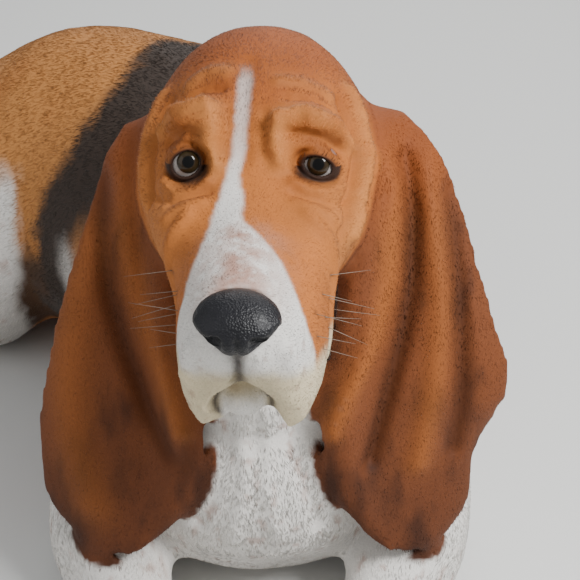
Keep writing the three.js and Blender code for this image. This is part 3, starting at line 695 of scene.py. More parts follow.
class Skin:
    """One closed skin for all the flesh, remeshed, smoothed and then shaped fold by fold."""

    VOXEL = 0.0033
    OVERLAP = 0.0005
    BODY_RATIO = 0.42
    DEPTH = 1.3
    EAR_MARGIN = 0.006
    EAR_NEAR = 5.8
    EAR_FAR = 8.6
    BLOCK = 256
    EYE_REACH = 21
    LID_BALL = 12.2
    LID_GAP = 0.7
    LID_FULL = 1.5
    LID_SINK = 2.4

    def __init__(self) -> None:
        """Builds the skin."""
        self.piece = self.joined()
        self.thin_out_body()
        self.subdivide(lambda place: (place[:, 1] > 40) & (np.abs(place[:, 0]) < 60) & (place[:, 2] > -100))
        self.subdivide(self.near_eye)
        self.relax()
        self.open_lids(self.with_folds())
        smooth_shaded(self.piece.data)
        self.ear = self.ear_share(points_of(self.piece.data))

    def joined(self) -> bpy.types.Object:
        """Joins copies of the flesh nodes, with the eyes that fill their sockets, under one skin."""
        mesh = bpy.data.meshes.new("dog_skin")
        whole = bmesh.new()
        for name in (*FLESH, "eye_left", "eye_right"):
            part = welded(name)
            for vertex in part.verts:
                vertex.co += vertex.normal * self.OVERLAP
            swollen = bpy.data.meshes.new("swollen")
            part.to_mesh(swollen)
            part.free()
            whole.from_mesh(swollen)
            bpy.data.meshes.remove(swollen)
        whole.to_mesh(mesh)
        whole.free()
        piece = link_object("dog_skin", mesh)
        remesh(piece, self.VOXEL)
        LOG.info("skin remeshed: %d faces", len(piece.data.polygons))
        return piece

    @classmethod
    def ear_share(cls, points: np.ndarray) -> np.ndarray:
        """How far each place belongs to an ear, from its distance to the ear nodes."""
        share = np.zeros(len(points))
        for side in Side:
            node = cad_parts[f"ear_{side.word}"].data
            corners = np.round(points_of(node), 5)
            low, high = corners.min(axis=0) - cls.EAR_MARGIN, corners.max(axis=0) + cls.EAR_MARGIN
            index = np.flatnonzero(np.all((points > low) & (points < high), axis=1))
            near = np.full(len(index), FAR)
            spots = cls.spots_on(node)
            for block in range(0, len(spots), cls.BLOCK):
                part = spots[block:block + cls.BLOCK]
                away = np.linalg.norm(points[index][:, None, :] - part[None, :, :], axis=2)
                near = np.minimum(near, away.min(axis=1))
            share[index] = np.maximum(share[index], 1 - ramp(near / MM, cls.EAR_NEAR, cls.EAR_FAR))
        return share

    @staticmethod
    def spots_on(mesh: bpy.types.Mesh) -> np.ndarray:
        """Places spread over a mesh's faces: middles, edges and near the corners."""
        corners = np.empty(len(mesh.loops), dtype=np.int64)
        mesh.loops.foreach_get("vertex_index", corners)
        faces = points_of(mesh)[corners.reshape(-1, 3)]
        places = [faces.mean(axis=1)]
        for first, second, third in ((0, 1, 2), (1, 2, 0), (2, 0, 1)):
            places.append((faces[:, first] + faces[:, second]) / 2)
            places.append((4 * faces[:, first] + faces[:, second] + faces[:, third]) / 6)
        return np.concatenate(places)

    @staticmethod
    def fine_part(points: np.ndarray) -> np.ndarray:
        """True on the head, the front of the neck, the ears and the paws, which keep fine faces."""
        dog = LAND.to_dog(points)
        place = LAND.to_head(points)
        head = (place[:, 2] > -104) & (place[:, 1] > -20)
        ears = (dog[:, 1] < -52) & (dog[:, 2] > 58)
        paws = (dog[:, 1] < -150) & (dog[:, 2] < 60)
        return head | ears | paws

    def thin_out_body(self) -> None:
        """Makes the faces of the trunk and legs larger, and leaves the head and ears fine."""
        group = self.piece.vertex_groups.new(name="body")
        body = np.flatnonzero(~self.fine_part(points_of(self.piece.data)))
        group.add(body.tolist(), 1.0, "REPLACE")
        thin = self.piece.modifiers.new("thin", "DECIMATE")
        thin.ratio = self.BODY_RATIO
        thin.vertex_group = group.name
        thin.vertex_group_factor = 1.0
        apply_modifier(self.piece, thin.name)
        self.piece.vertex_groups.clear()
        LOG.info("body thinned: %d faces", len(self.piece.data.polygons))

    @classmethod
    def near_eye(cls, place: np.ndarray) -> np.ndarray:
        """True within reach of the front of either eye."""
        result = np.zeros(len(place), dtype=bool)
        for side in Side:
            centre = np.array([side.value * EYE_AT_MM[0], EYE_AT_MM[1] + 6, EYE_AT_MM[2]])
            result |= np.linalg.norm(place - centre, axis=1) < cls.EYE_REACH
        return result

    @staticmethod
    def around_eyes(place: np.ndarray) -> np.ndarray:
        """1 at each eye, falling to 0 beyond the lids."""
        share = np.zeros(len(place))
        for side in Side:
            out, front, up = Lids.local(place, side)
            share = np.maximum(share, ramp(22 - np.sqrt(out**2 + up**2 + (front - 8) ** 2), 0, 6))
        return share

    def subdivide(self, chosen: Callable[[np.ndarray], np.ndarray]) -> None:
        """Splits the edges whose two ends are chosen, by places in the head's frame."""
        mesh = self.piece.data
        inside = chosen(LAND.to_head(points_of(mesh)))
        work = bmesh.new()
        work.from_mesh(mesh)
        work.verts.ensure_lookup_table()
        edges = [e for e in work.edges if inside[e.verts[0].index] and inside[e.verts[1].index]]
        bmesh.ops.subdivide_edges(work, edges=edges, cuts=1, use_grid_fill=True)
        bmesh.ops.triangulate(work, faces=[f for f in work.faces if len(f.verts) > 4])
        work.to_mesh(mesh)
        work.free()
        LOG.info("skin refined: %d faces", len(mesh.polygons))

    def smoothed(self, points: np.ndarray, strength: np.ndarray, times: int) -> np.ndarray:
        """Moves each vertex towards the mean of its neighbours.

        Args:
            points: The vertices.
            strength: How far each vertex follows, from 0 to 1.
            times: The number of passes.

        Returns:
            The moved vertices.
        """
        mesh = self.piece.data
        pairs = np.empty(len(mesh.edges) * 2, dtype=np.int64)
        mesh.edges.foreach_get("vertices", pairs)
        one, other = pairs.reshape(-1, 2).T
        count = len(points)
        degree = np.bincount(one, minlength=count) + np.bincount(other, minlength=count)
        for _ in range(times):
            mean = np.stack([
                np.bincount(one, points[other, k], count) + np.bincount(other, points[one, k], count)
                for k in range(3)
            ], axis=1) / degree[:, None]
            points = points + (mean - points) * strength[:, None]
        return points

    def settle(self, points: np.ndarray) -> None:
        """Writes the vertices, with none below the floor's gap."""
        points[:, 2] = np.maximum(points[:, 2], FLOOR_GAP_M)
        set_points(self.piece.data, points)

    def relax(self) -> None:
        """Blends the limbs into the trunk and sets the skin in by the depth of the coat."""
        mesh = self.piece.data
        points = points_of(mesh)
        dog = LAND.to_dog(points)
        place = LAND.to_head(points)
        ear = self.ear_share(points)
        head = ramp(place[:, 2], -96, -60) * ramp(place[:, 1], -50, -10)
        hind_paw = ramp(30 - dog[:, 2], -4, 6) * ramp(-dog[:, 0], 262, 282)
        paws = np.maximum(ramp(-dog[:, 1], 150, 175), hind_paw)
        paws = np.maximum(paws, ramp(dog[:, 1], 440, 456))
        firm = np.clip(head + paws + ear, 0, 1)
        for strength, times in (
            (0.62 * (1 - firm), 26),
            (np.full(len(points), 0.5), 4),
            (0.5 * ear, 6),
            (0.7 * self.around_eyes(place), 80),
        ):
            points = self.smoothed(points, strength, times)
        set_points(mesh, points)
        depth = self.DEPTH * (1 - 0.75 * ear)
        self.settle(points - normals_of(mesh) * (depth * MM)[:, None])

    def with_folds(self) -> np.ndarray:
        """The vertices with the folds of the head and chest raised and the ears draped."""
        points = points_of(self.piece.data)
        place = LAND.to_head(points)
        dog = LAND.to_dog(points)
        ear = self.ear_share(points)
        lift = np.zeros(len(points))
        for fold in HEAD_FOLDS:
            for side in Side:
                lift += fold.lift(place, side.value)
        for fold in HEAD_LINE:
            lift += fold.lift(place, 1)
        for fold in CHEST_FOLDS:
            for side in Side:
                lift += fold.lift(dog, side.value)
        lift *= 1 - ear
        points = points + normals_of(self.piece.data) * (lift * MM)[:, None]
        drape = sum(fold.height * fold.share(dog) for fold in EAR_FOLDS) * ear
        points = points + np.outer(drape * MM, EAR_DRAPE)
        return self.smoothed(points, 0.35 * (1 - ear), 2)

    def open_lids(self, points: np.ndarray) -> None:
        """Cuts the lids of both eyes, then softens the skin around their rims."""
        place = LAND.to_head(points)
        for side in Side:
            place = self.cut_lids(place, side)
        soft = self.around_eyes(place)
        for side in Side:
            out, _, up = Lids.local(place, side)
            rim = soft * ramp(Lids.opening(out, up, side), 1.2, 3.0)
            soft = np.where(np.hypot(out, up) < 24, rim, soft)
        self.settle(self.smoothed(LAND.from_head(place), 0.5 * soft, 8))

    @classmethod
    def cut_lids(cls, place: np.ndarray, side: Side) -> np.ndarray:
        """Lays the skin over the eyeball and opens it along the almond of the lids."""
        out, front, up = Lids.local(place, side)
        flat = np.hypot(out, up)
        ball = np.sqrt(np.maximum(cls.LID_BALL**2 - flat**2, 0.0))
        past = Lids.opening(out, up, side)
        facing = (front > -6) & (flat < 19)
        lid = ball + cls.LID_GAP + cls.LID_FULL * ramp(past, 0.0, 2.0) * np.where(up > 0, 1.2, 0.8)
        share = facing * (1 - ramp(past, 3.0, 7.0)) * ramp(12.0 - flat, -5.0, 0.5)
        target = np.where(past < 0, ball - cls.LID_SINK, lid)
        return place + np.outer(share * (target - front), Lids.FORWARD)


class Recipe:
    """A node tree, with short ways to add, set and wire its nodes."""

    def __init__(self, tree: bpy.types.NodeTree) -> None:
        """Keeps the tree."""
        self.tree = tree

    @staticmethod
    def put(node: bpy.types.Node, values: dict[str | int, float]) -> None:
        """Sets values on a node's inputs."""
        for name, value in values.items():
            node.inputs[name].default_value = value

    def add(self, kind: str, values: dict[str | int, float] | None = None) -> bpy.types.Node:
        """Adds a node and sets its inputs."""
        node = self.tree.nodes.new(kind)
        self.put(node, values or {})
        return node

    def wire(
        self, source: bpy.types.Node, given: str | int, target: bpy.types.Node, taken: str | int
    ) -> None:
        """Links an output of one node to an input of another."""
        self.tree.links.new(source.outputs[given], target.inputs[taken])

    def on_shape(self, kind: str, values: dict[str | int, float]) -> bpy.types.Node:
        """Adds a texture that is laid in the object's own space."""
        node = self.add(kind, values)
        self.wire(self.add("ShaderNodeTexCoord"), "Object", node, "Vector")
        return node

    def multiply(self, factor: float) -> bpy.types.Node:
        """Adds a node that darkens colour A by colour B."""
        node = self.add("ShaderNodeMix")
        node.data_type = "RGBA"
        node.blend_type = "MULTIPLY"
        node.inputs["Factor"].default_value = factor
        return node

    def tones(self, *stops: tuple[float, float, float, float]) -> bpy.types.Node:
        """Adds a colour ramp.

        Args:
            stops: The position, red, green and blue of two or more stops, in rising order.

        Returns:
            The ramp's node.
        """
        node = self.add("ShaderNodeValToRGB")
        elements = node.color_ramp.elements
        for number, (position, *colour) in enumerate(stops):
            stop = elements[number] if number < len(elements) else elements.new(position)
            stop.position = position
            stop.color = (*colour, 1)
        return node


def new_material(name: str, values: dict[str, float]) -> tuple[bpy.types.Material, Recipe, bpy.types.Node]:
    """Makes a material.

    Args:
        name: The material's name.
        values: Uniform values for its shader's sockets.

    Returns:
        The material, the recipe of its nodes and its shader.
    """
    made = bpy.data.materials.new(name)
    made.use_nodes = True
    recipe = Recipe(made.node_tree)
    shader = made.node_tree.nodes["Principled BSDF"]
    recipe.put(shader, values)
    return made, recipe, shader


def fur_grain() -> bpy.types.NodeTree:
    """Fine mottling for fur, built once: takes a colour, gives it back varied, with a height."""
    name = "fur_grain"
    if name in bpy.data.node_groups:
        return bpy.data.node_groups[name]
    tree = bpy.data.node_groups.new(name, "ShaderNodeTree")
    for socket, way, kind in (
        ("Colour", "INPUT", "Color"), ("Scale", "INPUT", "Float"), ("Amount", "INPUT", "Float"),
        ("Colour", "OUTPUT", "Color"), ("Height", "OUTPUT", "Float"),
    ):
        tree.interface.new_socket(socket, in_out=way, socket_type=f"NodeSocket{kind}")
    recipe = Recipe(tree)
    given = recipe.add("NodeGroupInput")
    result = recipe.add("NodeGroupOutput")
    noise = recipe.on_shape("ShaderNodeTexNoise", {"Detail": 6.0})
    centred = recipe.add("ShaderNodeMath", {1: 0.5})
    centred.operation = "SUBTRACT"
    scaled = recipe.add("ShaderNodeMath", {2: 1.0})
    scaled.operation = "MULTIPLY_ADD"
    tinted = recipe.multiply(1.0)
    recipe.wire(given, "Scale", noise, "Scale")
    recipe.wire(noise, "Fac", centred, 0)
    recipe.wire(centred, 0, scaled, 0)
    recipe.wire(given, "Amount", scaled, 1)
    recipe.wire(given, "Colour", tinted, "A")
    recipe.wire(scaled, 0, tinted, "B")
    recipe.wire(tinted, "Result", result, "Colour")
    recipe.wire(noise, "Fac", result, "Height")
    return tree


@dataclass(frozen=True)
class FurFinish:
    """Short fur: the coat's own colour attribute, mottled, with a fine bump."""

    name: str
    attribute: str = "coat_colour"
    roughness: float = 0.68
    specular: float = 0.16
    sheen: float = 0.02
    scale: float = 900.0
    amount: float = 0.5
    bump: float = 0.3
    bump_depth: float = 0.0006

    def material(self) -> bpy.types.Material:
        """Builds the material."""
        made, recipe, shader = new_material(self.name, {
            "Roughness": self.roughness, "Specular IOR Level": self.specular, "Sheen Weight": self.sheen,
        })
        colour = recipe.add("ShaderNodeAttribute")
        colour.attribute_name = self.attribute
        grain = recipe.add("ShaderNodeGroup")
        grain.node_tree = fur_grain()
        recipe.put(grain, {"Scale": self.scale, "Amount": self.amount})
        bump = recipe.add("ShaderNodeBump", {"Strength": self.bump, "Distance": self.bump_depth})
        recipe.wire(colour, "Color", grain, "Colour")
        recipe.wire(grain, "Colour", shader, "Base Color")
        recipe.wire(grain, "Height", bump, "Height")
        recipe.wire(bump, "Normal", shader, "Normal")
        return made


@dataclass(frozen=True)
class LeatherFinish:
    """Moist black nose leather with fine pebbles."""

    name: str = "nose_leather_moist"
    roughness: float = 0.44
    specular: float = 0.28
    coat: float = 0.08
    coat_roughness: float = 0.25
    pebble_scale: float = 900.0
    patch_scale: float = 90.0
    bump: float = 0.55
    bump_depth: float = 0.0007

    def material(self) -> bpy.types.Material:
        """Builds the material."""
        made, recipe, shader = new_material(self.name, {
            "Roughness": self.roughness, "Specular IOR Level": self.specular,
            "Coat Weight": self.coat, "Coat Roughness": self.coat_roughness,
        })
        pebbles = recipe.on_shape("ShaderNodeTexVoronoi", {"Scale": self.pebble_scale})
        patches = recipe.on_shape("ShaderNodeTexNoise", {"Scale": self.patch_scale})
        tones = recipe.tones((0.0, 0.004, 0.004, 0.005), (1.0, 0.011, 0.011, 0.014))
        bump = recipe.add("ShaderNodeBump", {"Strength": self.bump, "Distance": self.bump_depth})
        recipe.wire(patches, "Fac", tones, "Fac")
        recipe.wire(tones, "Color", shader, "Base Color")
        recipe.wire(pebbles, "Distance", bump, "Height")
        recipe.wire(bump, "Normal", shader, "Normal")
        return made


@dataclass(frozen=True)
class ClawFinish:
    """Horn: brown, clouded with paler patches."""

    name: str = "claw_horn"
    roughness: float = 0.38
    scale: float = 420.0

    def material(self) -> bpy.types.Material:
        """Builds the material."""
        made, recipe, shader = new_material(self.name, {"Roughness": self.roughness})
        clouds = recipe.on_shape("ShaderNodeTexNoise", {"Scale": self.scale})
        tones = recipe.tones((0.0, 0.050, 0.036, 0.026), (1.0, 0.240, 0.180, 0.125))
        recipe.wire(clouds, "Fac", tones, "Fac")
        recipe.wire(tones, "Color", shader, "Base Color")
        return made


@dataclass(frozen=True)
class EyeFinish:
    """A wet eye: black pupil, olive-brown iris with a dark rim, and a grey-white sclera, redder behind."""

    name: str = "eye_wet"
    pupil: float = 3.0
    iris: float = 6.6
    span: float = 12.0
    fibre_scale: float = 700.0
    fibre_amount: float = 0.45
    roughness: float = 0.2
    specular: float = 0.1
    coat: float = 0.4
    coat_roughness: float = 0.02

    def material(self) -> bpy.types.Material:
        """Builds the material on the eyeball's gaze attribute, in millimetres from the gaze."""
        made, recipe, shader = new_material(self.name, {
            "Roughness": self.roughness, "Specular IOR Level": self.specular,
            "Coat Weight": self.coat, "Coat Roughness": self.coat_roughness,
        })
        gaze = recipe.add("ShaderNodeAttribute")
        gaze.attribute_name = "gaze_distance"
        scaled = recipe.add("ShaderNodeMath", {1: self.span})
        scaled.operation = "DIVIDE"
        pupil, iris = self.pupil / self.span, self.iris / self.span
        tones = recipe.tones(
            (pupil - 0.02, 0.002, 0.002, 0.002),
            (pupil + 0.03, 0.030, 0.018, 0.008),
            (0.46, 0.040, 0.027, 0.012),
            (iris - 0.03, 0.020, 0.013, 0.008),
            (iris + 0.025, 0.32, 0.29, 0.27),
            (0.80, 0.38, 0.34, 0.32),
            (0.95, 0.30, 0.17, 0.14),
        )
        fibres = recipe.on_shape("ShaderNodeTexNoise", {"Scale": self.fibre_scale})
        varied = recipe.multiply(self.fibre_amount)
        recipe.wire(gaze, "Fac", scaled, 0)
        recipe.wire(scaled, 0, tones, "Fac")
        recipe.wire(tones, "Color", varied, "A")
        recipe.wire(fibres, "Fac", varied, "B")
        recipe.wire(varied, "Result", shader, "Base Color")
        return made


@dataclass
class Eyeball:
    """An eyeball with a raised cornea, turned to look up at whoever stands before the dog."""

    side: Side
    radius: float = 11.6
    cornea: float = 1.1
    cornea_radius: float = 7.4
    finish: EyeFinish = field(default_factory=EyeFinish)

    def build(self) -> bpy.types.Object:
        """Builds the eyeball and lays it in its socket."""
        centre = LAND.eyes[self.side]
        deselect_all()
        bpy.ops.mesh.primitive_uv_sphere_add(segments=96, ring_count=64, radius=self.radius * MM)
        piece = bpy.context.active_object
        piece.name = f"eyeball_{self.side.word}"
        gaze = LAND.from_dog(CAMERA_AT_MM) - centre
        gaze /= np.linalg.norm(gaze)
        points = points_of(piece.data)
        unit = points / np.linalg.norm(points, axis=1)[:, None]
        away = np.arccos(np.clip(unit @ gaze, -1, 1)) * self.radius
        bulge = self.cornea * ramp(self.cornea_radius - away, 0.0, 4.0)
        set_points(piece.data, points + unit * (bulge * MM)[:, None] + centre)
        attribute = piece.data.attributes.new("gaze_distance", "FLOAT", "POINT")
        attribute.data.foreach_set("value", away.astype(np.float32))
        smooth_shaded(piece.data)
        piece.data.materials.append(self.finish.material())
        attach(piece, "root")
        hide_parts(f"eye_{self.side.word}")
        LOG.info("eyeball %s", self.side.word)
        return piece


@dataclass
class Nose:
    """The nose leather: the node's own form made smooth, with nostrils and a groove."""

    voxel: float = 0.0008
    passes: int = 4
    strength: float = 0.6

    def build(self) -> bpy.types.Object:
        """Builds the nose."""
        mesh = bpy.data.meshes.new("nose_leather")
        work = welded("nose")
        work.to_mesh(mesh)
        work.free()
        piece = link_object("nose_leather", mesh)
        remesh(piece, self.voxel)
        points, normals = points_of(piece.data), normals_of(piece.data)
        place = LAND.to_head(points)
        lift = NOSE_LINE.lift(place, 1)
        for fold in NOSE_FOLDS:
            lift = lift + fold.lift(place, 1) + fold.lift(place, -1)
        set_points(piece.data, points + normals * (lift * MM)[:, None])
        round_off = piece.modifiers.new("round", "SMOOTH")
        round_off.iterations = self.passes
        round_off.factor = self.strength
        apply_modifier(piece, round_off.name)
        smooth_shaded(piece.data)
        piece.data.materials.append(LeatherFinish().material())
        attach(piece, "root")
        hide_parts("nose")
        LOG.info("nose: %d faces", len(piece.data.polygons))
        return piece


class Claws:
    """The claws stay as the frame has them, in horn."""

    def dress(self) -> None:
        """Gives every claw node its material."""
        horn = ClawFinish().material()
        for name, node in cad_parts.items():
            if name.startswith("claw_"):
                node.data.materials.clear()
                node.data.materials.append(horn)
        LOG.info("claws dressed")


@dataclass
class Tufts:
    """Places for tufts on the skin, one row each."""

    root: np.ndarray
    normal: np.ndarray
    ear: np.ndarray
    uv: np.ndarray


@dataclass
class Coat:
    """Short tufts that lie along the body, as closed three-sided spikes."""

    skin: Skin
    markings: Markings
    tufts: int = 330000
    per_piece: int = 48000
    seed: int = 7
    body_mm: float = 5.2
    head_mm: float = 3.6
    face_mm: float = 2.5
    ear_mm: float = 2.7
    foot_mm: float = 3.0
    swirl: float = 0.22
    stray: float = 0.13
    sunk_m: float = 0.0004
    spread: float = 0.25
    lift_range: tuple[float, float] = (0.04, 0.10)
    width_share: float = 0.07
    least_width_m: float = 0.00012
    crest_height: float = 0.8
    crest_share: float = 0.12
    shade_spread: float = 0.10

    FACES = np.array([[0, 1, 2], [0, 3, 1], [1, 3, 2], [2, 3, 0]])
    # Each spike's root corners are painted darker and its tip lighter: painted shade deep in the coat and
    # painted light on the tips.
    ROOT_SHADE_TIP_LIGHT = np.array([0.86, 0.86, 0.97, 1.08])
    UV_PATCH = np.array([[-0.0015, -0.0010], [0.0015, -0.0010], [0.0, 0.0002], [0.0, 0.0016]])

    def lie(self, tufts: Tufts) -> np.ndarray:
        """The direction in which the coat lies at each place, as unit vectors in the surface."""
        dog = LAND.to_dog(tufts.root)
        u, v, w = LAND.to_head(tufts.root).T
        on_head = ramp(w, -70, -30) * ramp(v, -100, -60)
        on_head = np.maximum(on_head, ramp(v, 60, 90) * ramp(w, -110, -90))
        rise = -0.5 - 0.5 * ramp(-w, -20, 60) + 1.6 * ramp(w, 4, 30) * ramp(v, 10, 50)
        head = -LAND.axis_v[None, :] + np.outer(u / 60, LAND.axis_u) + np.outer(rise, LAND.axis_w)
        turn = ramp(Markings.along_back(dog), 110, 330)
        way = np.stack([-turn, 1 - 0.45 * turn, np.full(len(u), -0.9)], axis=1)
        limbs = ramp(-dog[:, 1], 40, 90) * ramp(-dog[:, 2], -90, -60)
        way = blend(way, np.array([0.0, -1.0, -0.25]), limbs[:, None])
        chest = ramp(-dog[:, 1], 10, 60) * ramp(dog[:, 2], 70, 100)
        way = blend(way, np.array([0.0, 0.2, -1.0]), chest[:, None])
        way = head * on_head[:, None] + way * (1 - on_head[:, None])
        way = blend(way, np.array([0.0, 0.0, -1.0]), tufts.ear[:, None])
        way = way + self.swirl * np.stack([cloudy(dog, 40, seed) for seed in (61, 64, 67)], axis=1)
        way = way - tufts.normal * np.sum(way * tufts.normal, axis=1)[:, None]
        return unit_rows(way)

    def scatter(self, rng: np.random.Generator) -> Tufts:
        """Spreads the tufts over the skin, closer on the head and none in the eyes or underneath."""
        mesh = self.skin.piece.data
        mesh.calc_loop_triangles()
        count = len(mesh.loop_triangles)
        corners, loops = np.empty((2, count * 3), dtype=np.int64)
        mesh.loop_triangles.foreach_get("vertices", corners)
        mesh.loop_triangles.foreach_get("loops", loops)
        corners, loops = corners.reshape(-1, 3), loops.reshape(-1, 3)
        uvs = np.empty(len(mesh.loops) * 2, dtype=np.float32)
        mesh.uv_layers["OFBake"].uv.foreach_get("vector", uvs)
        points = points_of(mesh)
        first, second, third = (points[corners[:, k]] for k in range(3))
        area = np.linalg.norm(np.cross(second - first, third - first), axis=1) / 2
        middle = points[corners].mean(axis=1)
        place = LAND.to_head(middle)
        dense = 1 + 1.1 * ramp(place[:, 1], -20, 30) * ramp(place[:, 2], -110, -90)
        hidden = LAND.to_dog(middle)[:, 2] < 2.0
        for side in Side:
            out, front, up = Lids.local(place, side)
            hidden |= (Lids.opening(out, up, side) < 1.6) & (front > 0) & (front < 20)
        weight = area * dense * ~hidden
        chosen = rng.choice(count, size=self.tufts, p=weight / weight.sum())
        share = rng.random((self.tufts, 2))
        flip = share.sum(axis=1) > 1
        share[flip] = 1 - share[flip]
        shares = np.stack([1 - share.sum(axis=1), share[:, 0], share[:, 1]], axis=1)[:, :, None]
        corners, loops = corners[chosen], loops[chosen]
        normal = (normals_of(mesh)[corners] * shares).sum(axis=1)
        return Tufts(
            root=(points[corners] * shares).sum(axis=1),
            normal=normal / np.linalg.norm(normal, axis=1)[:, None],
            ear=(self.skin.ear[corners][:, :, None] * shares).sum(axis=1)[:, 0],
            uv=(uvs.reshape(-1, 2)[loops] * shares).sum(axis=1),
        )

    def lengths(self, tufts: Tufts) -> np.ndarray:
        """How long the hair is at each root, in metres."""
        x, y, z = LAND.to_dog(tufts.root).T
        _, v, w = LAND.to_head(tufts.root).T
        length = np.full(len(x), self.body_mm)
        length = blend(length, self.head_mm, ramp(w, -80, -50) * ramp(v, -80, -40))
        length = blend(length, self.face_mm, ramp(v, 40, 110) * ramp(w, -110, -90))
        length = blend(length, self.ear_mm, tufts.ear)
        feet = ramp(40 - z, 0, 10) * np.maximum(ramp(-y, 140, 190), ramp(-x, 285, 300))
        return blend(length, self.foot_mm, feet) * MM

    def build(self) -> None:
        """Builds the tufts as meshes, each under the limit for one piece."""
        rng = np.random.default_rng(self.seed)
        tufts = self.scatter(rng)
        root, normal, count = tufts.root, tufts.normal, len(tufts.root)
        length = self.lengths(tufts) * rng.uniform(1 - self.spread, 1 + self.spread, count)
        way = self.lie(tufts)
        across = np.cross(normal, way)
        way = way + across * rng.normal(0, self.stray, count)[:, None]
        lift = rng.uniform(*self.lift_range, count)
        width = length * self.width_share + self.least_width_m
        start = root - normal * self.sunk_m
        left = start - across * width[:, None]
        right = start + across * width[:, None]
        ridge = normal * (width * self.crest_height)[:, None]
        crest = start + ridge + way * (length * self.crest_share)[:, None]
        tip = root + way * length[:, None] + normal * (length * lift)[:, None]
        corners = np.stack([left, right, crest, tip], axis=1)
        lowest = (TUFT_GAP_M, TUFT_GAP_M, TUFT_GAP_M, TIP_GAP_M)
        corners[:, :, 2] = np.maximum(corners[:, :, 2], lowest)
        shade = np.clip(rng.normal(1.0, self.shade_spread, count), 0.6, 1.5)
        colour = np.clip(self.markings.paint(root, tufts.ear) * shade[:, None], 0, 1)
        material = FurFinish("coat_tufts", roughness=0.55, amount=0.2, bump=0.1).material()
        order = np.argsort(LAND.to_dog(root)[:, 1], kind="stable")
        for number, begin in enumerate(range(0, count, self.per_piece)):
            part = order[begin:begin + self.per_piece]
            self.piece(f"coat_{number + 1:02d}", corners[part], colour[part], tufts.uv[part], material)

    def piece(
        self, name: str, corners: np.ndarray, colour: np.ndarray, uv: np.ndarray, material: bpy.types.Material
    ) -> bpy.types.Object:
        """Makes one mesh of spikes.

        Args:
            name: The piece's name.
            corners: Left, right, crest and tip of each spike.
            colour: The colour of each spike.
            uv: Where each root lies on the unwrapped skin.
            material: The finish.

        Returns:
            The finished piece.
        """
        count = len(corners)
        index = (np.arange(count)[:, None, None] * 4 + self.FACES[None]).reshape(-1, 3)
        mesh = bpy.data.meshes.new(name)
        mesh.vertices.add(count * 4)
        mesh.vertices.foreach_set("co", corners.reshape(-1))
        mesh.loops.add(len(index) * 3)
        mesh.loops.foreach_set("vertex_index", index.reshape(-1))
        mesh.polygons.add(len(index))
        mesh.polygons.foreach_set("loop_start", np.arange(len(index)) * 3)
        # Painted shade at each spike's root and painted light at its tip.
        tinted = np.clip(colour[:, None, :] * self.ROOT_SHADE_TIP_LIGHT[None, :, None], 0, 1)
        colour_points(mesh, tinted.reshape(-1, 3))
        layer = mesh.uv_layers.new(name="OFBake")
        places = (uv[:, None, :] + self.UV_PATCH[None])[:, self.FACES, :].reshape(-1)
        layer.uv.foreach_set("vector", places.astype(np.float32))
        mesh.update()
        mesh.validate()
        mesh.materials.append(material)
        piece = link_object(name, mesh)
        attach(piece, "root")
        LOG.info("%s: %d tufts", name, count)
        return piece


@dataclass
class Whiskers:
    """Thin tapering whiskers that grow from the pits of the upper lips."""

    skin: Skin
    length: float = 30.0
    radius: float = 0.24
    tip_radius: float = 0.06
    sunk: float = 1.5
    sides: int = 6
    lip_u: float = 42.0
    stray: float = 0.12
    seed: int = 3

    def build(self) -> bpy.types.Object:
        """Builds all the whiskers as one piece of slender cones."""
        rng = np.random.default_rng(self.seed)
        places = LAND.to_head(points_of(self.skin.piece.data))
        cones = []
        for side in Side:
            for row, height in enumerate(PIT_ROWS_W):
                for column in PIT_COLUMNS_V:
                    spot = np.array([side.value * self.lip_u, column + PIT_STEP * (row % 2), height])
                    root = places[np.argmin(np.sum((places - spot) ** 2, axis=1))]
                    way = np.array([side.value, -0.35, -0.25 - 0.15 * row])
                    way = way + rng.normal(0, self.stray, 3)
                    way /= np.linalg.norm(way)
                    length = self.length * rng.uniform(0.6, 1.1)
                    cones.append(self.cone(LAND.from_head(root)[0], way, length))
        make_active(cones[0])
        for cone in cones:
            cone.select_set(True)
        bpy.ops.object.join()
        piece = bpy.context.active_object
        piece.name = "whiskers"
        made, recipe, shader = new_material("whisker_hair", {"Roughness": 0.5})
        recipe.put(shader, {"Base Color": (0.22, 0.18, 0.14, 1)})
        piece.data.materials.append(made)
        smooth_shaded(piece.data)
        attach(piece, "root")
        return piece

    def cone(self, root: np.ndarray, way: np.ndarray, length: float) -> bpy.types.Object:
        """Adds one whisker.

        Args:
            root: Where it grows, in metres.
            way: Its direction in the head's frame.
            length: Its length in millimetres.

        Returns:
            The cone.
        """
        along = way @ np.stack([LAND.axis_u, LAND.axis_v, LAND.axis_w])
        bpy.ops.mesh.primitive_cone_add(
            vertices=self.sides, radius1=self.radius * MM, radius2=self.tip_radius * MM, depth=length * MM,
            location=root + along * (length / 2 - self.sunk) * MM,
            rotation=Vector(along).to_track_quat("Z", "Y").to_euler(),
        )
        return bpy.context.active_object


@dataclass(frozen=True)
class Lamp:
    """A soft square light that faces the dog."""

    name: str
    at_mm: tuple[float, float, float]
    size: float
    power: float


